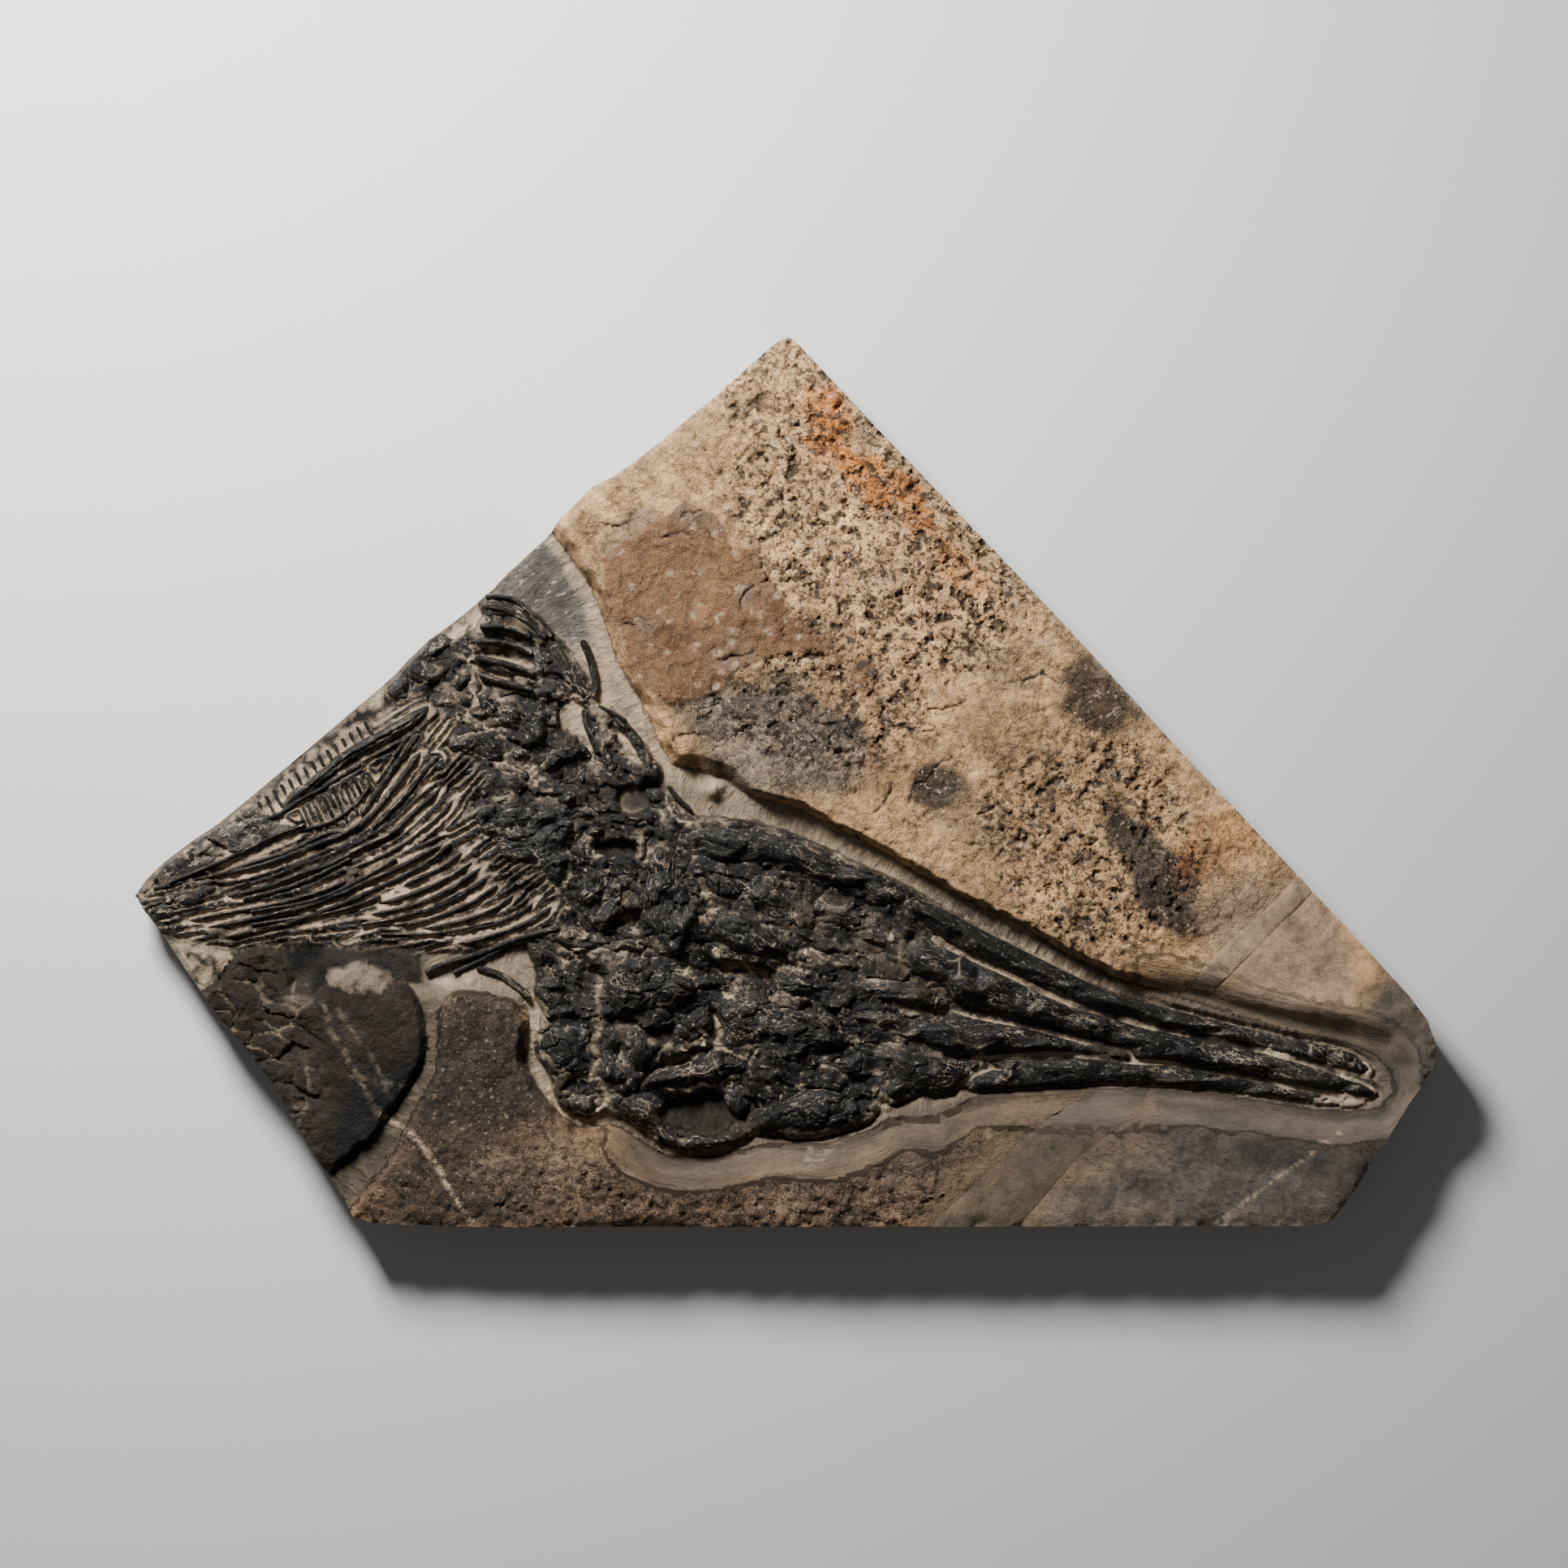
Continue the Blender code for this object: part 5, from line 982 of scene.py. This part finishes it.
def stoneHeights(name, x, y):
    sharp = heightsOf(solids[name][0], *shaken(x, y, 8, 4, (51, 77), 1.8))
    soft = blurred(sharp, 10)
    h = blurred(np.where(np.abs(sharp - soft) < 0.9, soft, sharp), 1)
    foot, along, trough, island = stoneFields(x, y)
    slope = lowerSlope(x, y, foot, trough)
    plateau = (~trough | island).astype(float) * ease(foot / 6) * (1 - slope) \
        * (1 - workedSide(x, y) * (1 - ease((foot - 16) / 20)))
    seamGap = 0.15
    if name != "repair_filler":
        seamGap = 0.15 + 0.85 * ease((lineField(x, y, solids["repair_filler"][1], True)[0] - 1) / 9)
    h += plateau * plateauRelief(name, x, y, island) * seamGap
    if name == "slab_main":
        h = mainSlabRelief(x, y, h, plateau, foot, island)
    raised = 0.6 + lowerBank(x, y)
    low = floorLevel + raised + (h - floorLevel - raised) * ease((foot + 1) / (stoneSizes["slope"] + 4))
    worked = np.minimum(h, low + 0.25 * noiseAt(along * 0.2, foot, 3.5, 12))
    h = h * (1 - slope) + slope * np.maximum(worked, floorLevel + raised)
    chips = ease(layered(x, y, 11, 3, 61) * 1.2 + 0.1) * np.exp(-slabRim(x, y) / 3.0)
    h -= stoneSizes["chips"] * chips
    h += np.where(trough & ~island, floorRelief(x, y, foot, along), 0)
    return np.clip(h, floorLevel - 2.5, cadHigh.z / mm - 0.1)


def over(rgb, colour, weight):
    # a colour of the palette laid over what is painted so far
    w = np.clip(weight, 0, 1)[:, None]
    return rgb * (1 - w) + np.array(stonePalette[colour]) * w


def fillerLight(y):
    # the filler is paler in its upper part
    return (1 + 2.0 * ease((y + 150) / 50))[:, None]


def stonePlaces(x, y):
    # what the painting has to know of each place: where it lies, and how much of each covering it has
    at = SimpleNamespace()
    at.foot, at.along, at.trough, at.island = stoneFields(x, y)
    at.near, fill = gridAt(boneNear, x, y), gridAt(fillGrid, x, y)
    at.slope = lowerSlope(x, y, at.foot, at.trough)
    at.top, at.floor = (~at.trough) * 1.0, at.trough & ~at.island
    at.rim = slabRim(x, y)
    at.wave, at.ribShare = ribStripes(x, y)
    at.crack, at.crackSmall, at.value = crushedField(x, y)[1:]
    at.between = ease((-215 - x) / 20) * ease((y + 128 + 4 * layered(x, y, 12, 3, 92)) / 6)
    filled = np.clip(fill / 2.2, 0, 1)
    at.darkness = np.maximum(filled, at.between * 0.9) * at.floor
    at.snout = ease((x - 80) / 40) * at.floor
    at.blocks = at.darkness * filled * ease(1.15 + layered(x, y, 34, 3, 94)) * (1 - at.snout)
    at.furrow = ease((-at.wave - 0.15) / 0.6) * at.ribShare * at.floor
    at.pit = spotsAt(x, y, hollows)
    at.shale = ease(patchDepth(x, y, shalePatch, 5) / 3 + 0.5) * at.floor
    at.left = ease((-288 - x + 8 * layered(x, y, 12, 3, 97)) / 16)
    return at


def zoneTone(name, x, y):
    # the stone's own colour by place
    filler = name == "repair_filler"
    rgb = np.tile(np.array(stonePalette["filler" if filler else "tan"]) * 0.9, (x.size, 1))
    if filler:
        rgb = rgb * fillerLight(y)
        smears = layered(x * 0.6 + y * 0.5, y * 2 - x * 1.2, 18, 4, 84)
        rgb = over(rgb, "sand", 0.5 * ease(smears * 1.4 - 0.1))
    else:
        warpX, warpY = shaken(x, y, 24, 5, (81, 83), 9)
        for *oval, colour, strength in stoneZones:
            rgb = over(rgb, colour, strength * ease((1.2 - ovalReach(warpX, warpY, *oval)) / 0.4))
    return rgb * (1 + 0.4 * layered(x, y, 14, 5, 71) + 0.3 * layered(x, y, 3.2, 3, 74))[:, None]


def plateauTone(x, y, rgb, at):
    # the main slab's face: pocks, the smooth layer, edges of ledges, cracks, pale rings and rusty spots
    layer = patchDepth(x, y, smoothPatch)
    smoothed = ease(layer / 1.5 + 0.5)
    pocked = pockCover(x, y) * (1 - 0.95 * smoothed)
    light = 0.25 + 0.75 * ease((rgb[:, 0] - 0.1) / 0.2)
    high = y > -150
    rgb = over(rgb, "tan", 0.35 * ease(layered(x, y, 8, 4, 75) * 1.5) * pocked * at.top * high * light)
    rgb = over(rgb, "brown", smoothed * 0.95)
    rgb = rgb * (1 + smoothed * 0.25 * layered(x, y, 30, 4, 76))[:, None]
    rgb = over(rgb, "grey", smoothed * 0.5 * ease(layered(x, y, 26, 4, 77) * 1.4 - 0.35))
    # the dark rim along the smooth layer's edge is partly a crack and partly painted shade below the layer's
    # step
    rimOfLayer = np.exp(-((layer + 0.4) / 0.7) ** 2)
    rgb = over(rgb, "umber", rimOfLayer * 0.75 * ease(0.6 + layered(x, y, 15, 3, 70)))
    rgb = over(rgb, "umber", pitCover(x, y) * pocked * 0.9 * at.top)
    part = ledgeField(x, y) % 1
    edge = np.exp(-(np.minimum(part, 1 - part) / 0.04) ** 2) * ease(0.3 + layered(x, y, 22, 3, 73))
    rgb = over(rgb, "umber", edge * 0.8 * at.top * (1 - smoothed * 0.7))
    for d in crackDistances(x, y):
        rgb = over(rgb, "slate", np.exp(-(d / 0.7) ** 2) * 0.9 * at.top)
    first, value = cellsAt(x, y, 13.0, 27)[::2]
    ring = np.exp(-((first * 13 - 0.9 - 0.9 * value) / 0.5) ** 2) * (value > 0.5)
    rgb = over(rgb, "cream", ring * 0.75 * np.maximum(smoothed, ease(1 - pocked) * 0.4) * at.top * (y > 0))
    dots = ease(layered(x, y, 4, 3, 72) * 1.4 - 0.4) * (0.12 + 0.65 * pocked)
    rgb = over(rgb, "cream", dots * at.top * high * light)
    for *oval, colour, strength in stoneZones:
        if colour == "orange":
            cover = spotsAt(x, y, [(*oval, strength)], 90)
            rgb = over(rgb, "orange", cover * 0.5 * ease(0.5 + layered(x, y, 7, 3, 106)))
    greyish = ease((0.34 - rgb[:, 0]) / 0.2) * at.top * (1 - smoothed)
    flecks = at.top * np.clip(0.1 + greyish * np.where(y < -120, 0.25, 0.9) + 0.12 * smoothed, 0, 1)
    cracks = at.top * np.clip(0.35 + 0.5 * greyish - smoothed * 0.1, 0, 1)
    return rgb, (at.top * pocked, flecks, cracks)


def matrixTone(x, y, rgb, at):
    # the dark crushed matrix between the bones: broken blocks, ridges that run with the ribs, pale seams
    pale = ease(1.7 * layered(x, y, 12, 4, 95))
    apart = 1 - at.ribShare
    ridges = at.ribShare * at.floor
    rgb = over(rgb, "mud", at.darkness)
    rgb = over(rgb, "matrix", at.between * at.floor * apart * 0.85)
    rgb = over(rgb, "bone", at.between * at.floor * ease(0.8 + layered(x, y, 12, 4, 104) * 1.2) * apart)
    rgb = over(rgb, "bone", at.blocks)
    worn = 0.22 * at.value + 0.3 * ease(layered(x * 0.5, y * 1.6, 9, 4, 93) * 1.3 - 0.1)
    rgb = over(rgb, "boneGrey", at.blocks * worn)
    rgb = over(rgb, "cream", at.blocks * apart * pale * np.maximum(at.crack, at.crackSmall * 0.6) * 0.9)
    rgb = over(rgb, "mud", ridges * ease((0.35 - at.wave) / 0.5) * 0.8)
    rgb = over(rgb, "bone", ridges * ease((at.wave - 0.1) / 0.5) * 0.9)
    # painted highlight: the crests of the ridges between the ribs are made grey where the light catches them
    rgb = over(rgb, "boneGrey", ridges * ease((at.wave - 0.5) / 0.4) * 0.5)
    dusty = ease(0.85 + 1.5 * layered(x * 0.6, y, 16, 4, 97))
    rgb = over(rgb, "cream", ease((-at.wave - 0.3) / 0.4) * ridges * dusty * 0.95)
    halo = np.exp(-((at.near - 0.7) / 0.6) ** 2)
    return over(rgb, "cream", at.darkness * halo * pale * 0.4 * (1 - at.ribShare * 0.5))


def floorTone(x, y, rgb, at):
    # the rest of the carved floor: snout, hollows painted dark as shade, cream patches, shale, the pale band
    # along the wall, and painted shade on the groove round the islands at the bottom left
    rgb = over(rgb, "bone", at.snout * (at.near < 12) * 0.6)
    besideBars = at.snout * ease((2.6 - at.near) / 1.2)
    rgb = over(rgb, "cream", besideBars * ease(0.75 + layered(x, y, 20, 3, 105)) * 0.9)
    # painted shade: the hollows are painted near black, as the shadow that fills them
    rgb = over(rgb, "matrix", at.floor * at.pit * 0.9)
    cream = spotsAt(x, y, creamSpots) * ease(0.7 + layered(x, y, 5, 4, 96) * 1.4)
    kept = (1 - 0.5 * at.ribShare) * (1 - 0.45 * at.blocks * (1 - at.crack))
    rgb = over(rgb, "cream", at.floor * cream * 0.85 * kept)
    rgb = over(rgb, "flaky", at.floor * at.darkness * eyeFill(x, y) * 0.8)
    rgb = over(rgb, "shale", at.shale * 0.95)
    rgb = rgb * (1 + at.shale * 0.5 * layered(x, y, 9, 4, 78))[:, None]
    band = np.exp(-((at.foot - 5) / 5.5) ** 2) * (at.near > 1.2) * ease(layered(x, y, 8, 3, 91) + 0.9) \
        * (1 - at.shale) * (1 - at.pit)
    stroke = 0.5 + 0.5 * noiseAt(at.along, at.foot * 0.3, 1.7, 5)
    rgb = over(rgb, "cream", at.floor * band * 0.75 * (0.4 + 0.6 * stroke))
    bare = at.floor * (1 - at.darkness)
    rgb = rgb * (1 - bare * 0.3 * (1 - stroke))[:, None]
    # painted shade: the bare floor at the bottom left, the groove round the islands, is darkened as where
    # shadow lies in it
    rgb = rgb * (1 - 0.66 * ease((-118 - y) / 20) * ease((-150 - x) / 30) * bare)[:, None]
    lower = ease((x + 130) / 30) * belowJaws(x, y, -150, 14) * (at.near > 0.6) * bare * (1 - at.pit)
    return over(rgb, "slope", lower * 0.75)


def slopeTone(x, y, rgb, at):
    # the slope worked into the stone below the jaws and round the snout, with painted shadow at its foot
    # beside the bones and partly painted light on its upper part
    reach = ease((34 + 9 * layered(x, y, 30, 3, 67) - at.foot) / 24)
    wideSlope = workedSide(x, y) * (~at.trough) * reach
    rgb = over(rgb, "slope", np.maximum(wideSlope, at.slope * 0.5) * 0.9)
    # paler sanded stone on the slope's upper part above the snout, partly painted light that lifts the wall's
    # shadow there
    rgb = rgb * (1 + 0.8 * wideSlope * ease((y + 172) / 20))[:, None]
    lines = noiseAt(at.along * 0.12, at.foot + layered(x, y, 20, 3, 88) * 3, 4.5, 86)
    # lines and noise vary the tone; the last term is painted shadow, darkening the slope at its foot where
    # the bones cast their shadow
    uneven = 0.28 * lines + 0.2 * layered(x, y, 30, 3, 87) - 0.35 * np.exp(-at.foot / 5)
    return rgb * (1 + at.slope * uneven)[:, None]


def islandTone(x, y, rgb, at):
    # the dark island, crushed on its left, with the dusty lens on its upper edge
    rgb = over(rgb, "black", at.island * 0.97)
    rgb = rgb * (1 + at.island * 0.8 * np.clip(layered(x, y, 18, 4, 101), 0, 1))[:, None]
    rgb = over(rgb, "boneGrey", at.island * at.left * 0.4 * ease(0.3 + layered(x, y, 10, 4, 98)))
    paleCracks = at.crack * 0.3 * ease(layered(x, y, 16, 3, 102) * 1.6 + 0.2)
    rgb = over(rgb, "cream", at.island * at.left * paleCracks)
    lens = ease(spotsAt(x, y, lensSpots) * 5 - 2) * (at.trough | at.island)
    rgb = over(rgb, "dust", lens * 0.75)
    rgb = over(rgb, "dust", at.island * spotsAt(x, y, dustSpots) * 0.6)
    return over(rgb, "boneGrey", lens * ease(layered(x, y, 6, 3, 103) * 1.5 - 0.2) * 0.8)


def veinTone(x, y, rgb, at):
    # pale mineral veins, no thinner than the mesh can show
    px, py = shaken(x, y, 6, 3, (57, 58), 0.8)
    for line, width in veins:
        wide = max(width, stoneSizes["vein"])
        strength = ease(1.0 + layered(x, y, 7, 2, 99)) * (width / wide) * 0.9 \
            * (~at.trough | at.island | (width > 1)) * np.where(at.island, 0.65, 1)
        rgb = over(rgb, "cream", np.exp(-(lineField(px, py, line)[0] / wide) ** 2) * strength)
    return rgb


def seamTone(x, y, rgb, wear, at):
    # filler smeared over both stones beside the seam
    warpX, warpY = shaken(x, y, 24, 5, (81, 83), 9)
    seam = lineField(warpX, warpY, solids["repair_filler"][1], True)[0]
    lowEnd = ease((-120 - y) / 20)
    smear = ease((11 + 6 * lowEnd + 4 * layered(x, y, 30, 2, 89) - seam) / (9 + 5 * lowEnd))
    w = (smear * 0.75 * at.top * (1 - 0.35 * (1 - lowEnd)))[:, None]
    rgb = rgb * (1 - w) + np.array(stonePalette["filler"]) * fillerLight(y) * w
    return rgb, [part * (1 - smear) for part in wear]


def stoneGrain(name, x, y, z, at):
    # the place that pits and grain follow: turned on the plateau, along the wall on the floor and the slope
    c, s = math.cos(math.radians(stoneSizes["grainTurn"])), math.sin(math.radians(stoneSizes["grainTurn"]))
    runU, runV = (x * c + y * s) * (0.45 if name == "slab_snout_end" else 1), y * c - x * s
    bare, sloping = at.floor & (at.darkness < 0.5), at.slope > 0.3
    runU, runV = np.where(bare, at.foot * 0.4, runU), np.where(bare, at.along, runV)
    return np.where(sloping, at.along * 0.25, runU), np.where(sloping, at.foot, runV), z


def stoneTone(name, x, y, z):
    # colour, gloss, cover of pits, flecks and cracks, and the grain of each point of a stone
    at = stonePlaces(x, y)
    main = name == "slab_main"
    rgb, wear = zoneTone(name, x, y), [at.top * 0.15, at.top * 0.15, at.top * 0.2]
    if main:
        rgb, wear = plateauTone(x, y, rgb, at)
    rgb = over(rgb, "dust", at.floor * 0.95)
    for layerTone in (matrixTone, floorTone, slopeTone, islandTone, veinTone):
        rgb = layerTone(x, y, rgb, at)
    if name != "repair_filler":
        rgb, wear = seamTone(x, y, rgb, wear, at)
    # painted highlight: a cream edge along the upper part of the slab's top rim, where the light catches it
    rgb = over(rgb, "cream", (z > 40) * np.exp(-at.rim / 1.8) * 0.5 * ~at.island * ease((y + 60) / 60))
    rgb = over(rgb, "grey", ease((36 - z) / 6) * (at.rim < 2.5) * 0.85)
    pits, flecks, cracks = [part * (1 - at.slope * 0.9) for part in wear]
    crushed = np.maximum(at.blocks, at.ribShare * at.floor)
    if main:
        flecks = np.maximum(np.maximum(flecks, crushed * 0.5), at.shale * 0.7)
    else:
        pits = np.where(at.slope > 0.5, 0.1, ease((-150 - y) / 20) * 0.9) * (name == "slab_snout_end")
    gloss = 0.12 + 0.35 * (at.island & (at.left < 0.5)) + 0.45 * crushed * (1 - at.furrow)
    return rgb, gloss, (pits, flecks, cracks), stoneGrain(name, x, y, z, at)


# each stone's finish, slot and grid step as a share of the main one's
stoneSetup = {"slab_main": (stoneLook, "slab_stone", 1.0),
              "slab_snout_end": (sandedLook, "sanded_stone", 1.15),
              "repair_filler": (fillerLook, "repair_filler", 1.15)}
for name, (look, slot, scale) in stoneSetup.items():
    outline = solids[name][1]
    if name == "repair_filler":
        outline = [(px, max(py, cadLow.y / mm + 0.1)) for px, py in grown(outline, stoneSizes["seam"])]
    piece = reliefPiece("stone_" + name, outline, stoneSizes["step"] * scale,
                        lambda x, y, n=name: stoneHeights(n, x, y), stoneSizes["walls"],
                        stoneSizes["share"], stoneSizes["drift"])
    x, y, z = pointsOf(piece)
    paint(piece, *stoneTone(name, x, y, z))
    handOver(piece, look, name)
print("stage: stones made")

# floor, light and camera
stageSizes = {"key": 47, "keyPlace": (-0.6, 0.95, 0.95), "keySize": 0.4, "fill": 1.5,
              "fillPlace": (0.6, -1.6, 2.4), "fillSize": 2.0, "world": 0.05, "floorBelow": 0.0005,
              "lens": 100, "sensor": 36, "face": 0.045, "width": 0.966, "middle": (-0.00025, -0.001)}
bpy.ops.mesh.primitive_plane_add(size=12, location=(0, 0, -stageSizes["floorBelow"]))
ground = bpy.context.object
ground.name = "pale_floor"
groundLook = bpy.data.materials.new("pale_floor")
groundLook.use_nodes = True
groundShader = groundLook.node_tree.nodes["Principled BSDF"]
groundShader.inputs["Base Color"].default_value = (0.86, 0.86, 0.85, 1)
groundShader.inputs["Roughness"].default_value = 0.8
ground.data.materials.append(groundLook)


def addLight(name, place, size, power):
    # a square lamp that looks at the middle of the slab's underside
    bpy.ops.object.light_add(type="AREA", location=place)
    light = bpy.context.object
    light.name = name
    light.data.size = size
    light.data.energy = power
    light.rotation_euler = (-Vector(place)).to_track_quat("-Z", "Y").to_euler()


for lamp in ("key", "fill"):
    addLight(lamp, stageSizes[lamp + "Place"], stageSizes[lamp + "Size"], stageSizes[lamp])
world = bpy.data.worlds.new("studio")
bpy.context.scene.world = world
world.use_nodes = True
world.node_tree.nodes["Background"].inputs["Color"].default_value = (1, 1, 1, 1)
world.node_tree.nodes["Background"].inputs["Strength"].default_value = stageSizes["world"]
# the camera stands as far above the slab's face as shows the wanted width with this lens
cameraHeight = stageSizes["face"] + stageSizes["width"] * stageSizes["lens"] / stageSizes["sensor"]
bpy.ops.object.camera_add(location=(*stageSizes["middle"], cameraHeight), rotation=(0, 0, 0))
camera = bpy.context.object
camera.data.lens = stageSizes["lens"]
camera.data.clip_end = 20
bpy.context.scene.camera = camera
print("stage: studio ready")

bpy.ops.object.select_all(action="DESELECT")
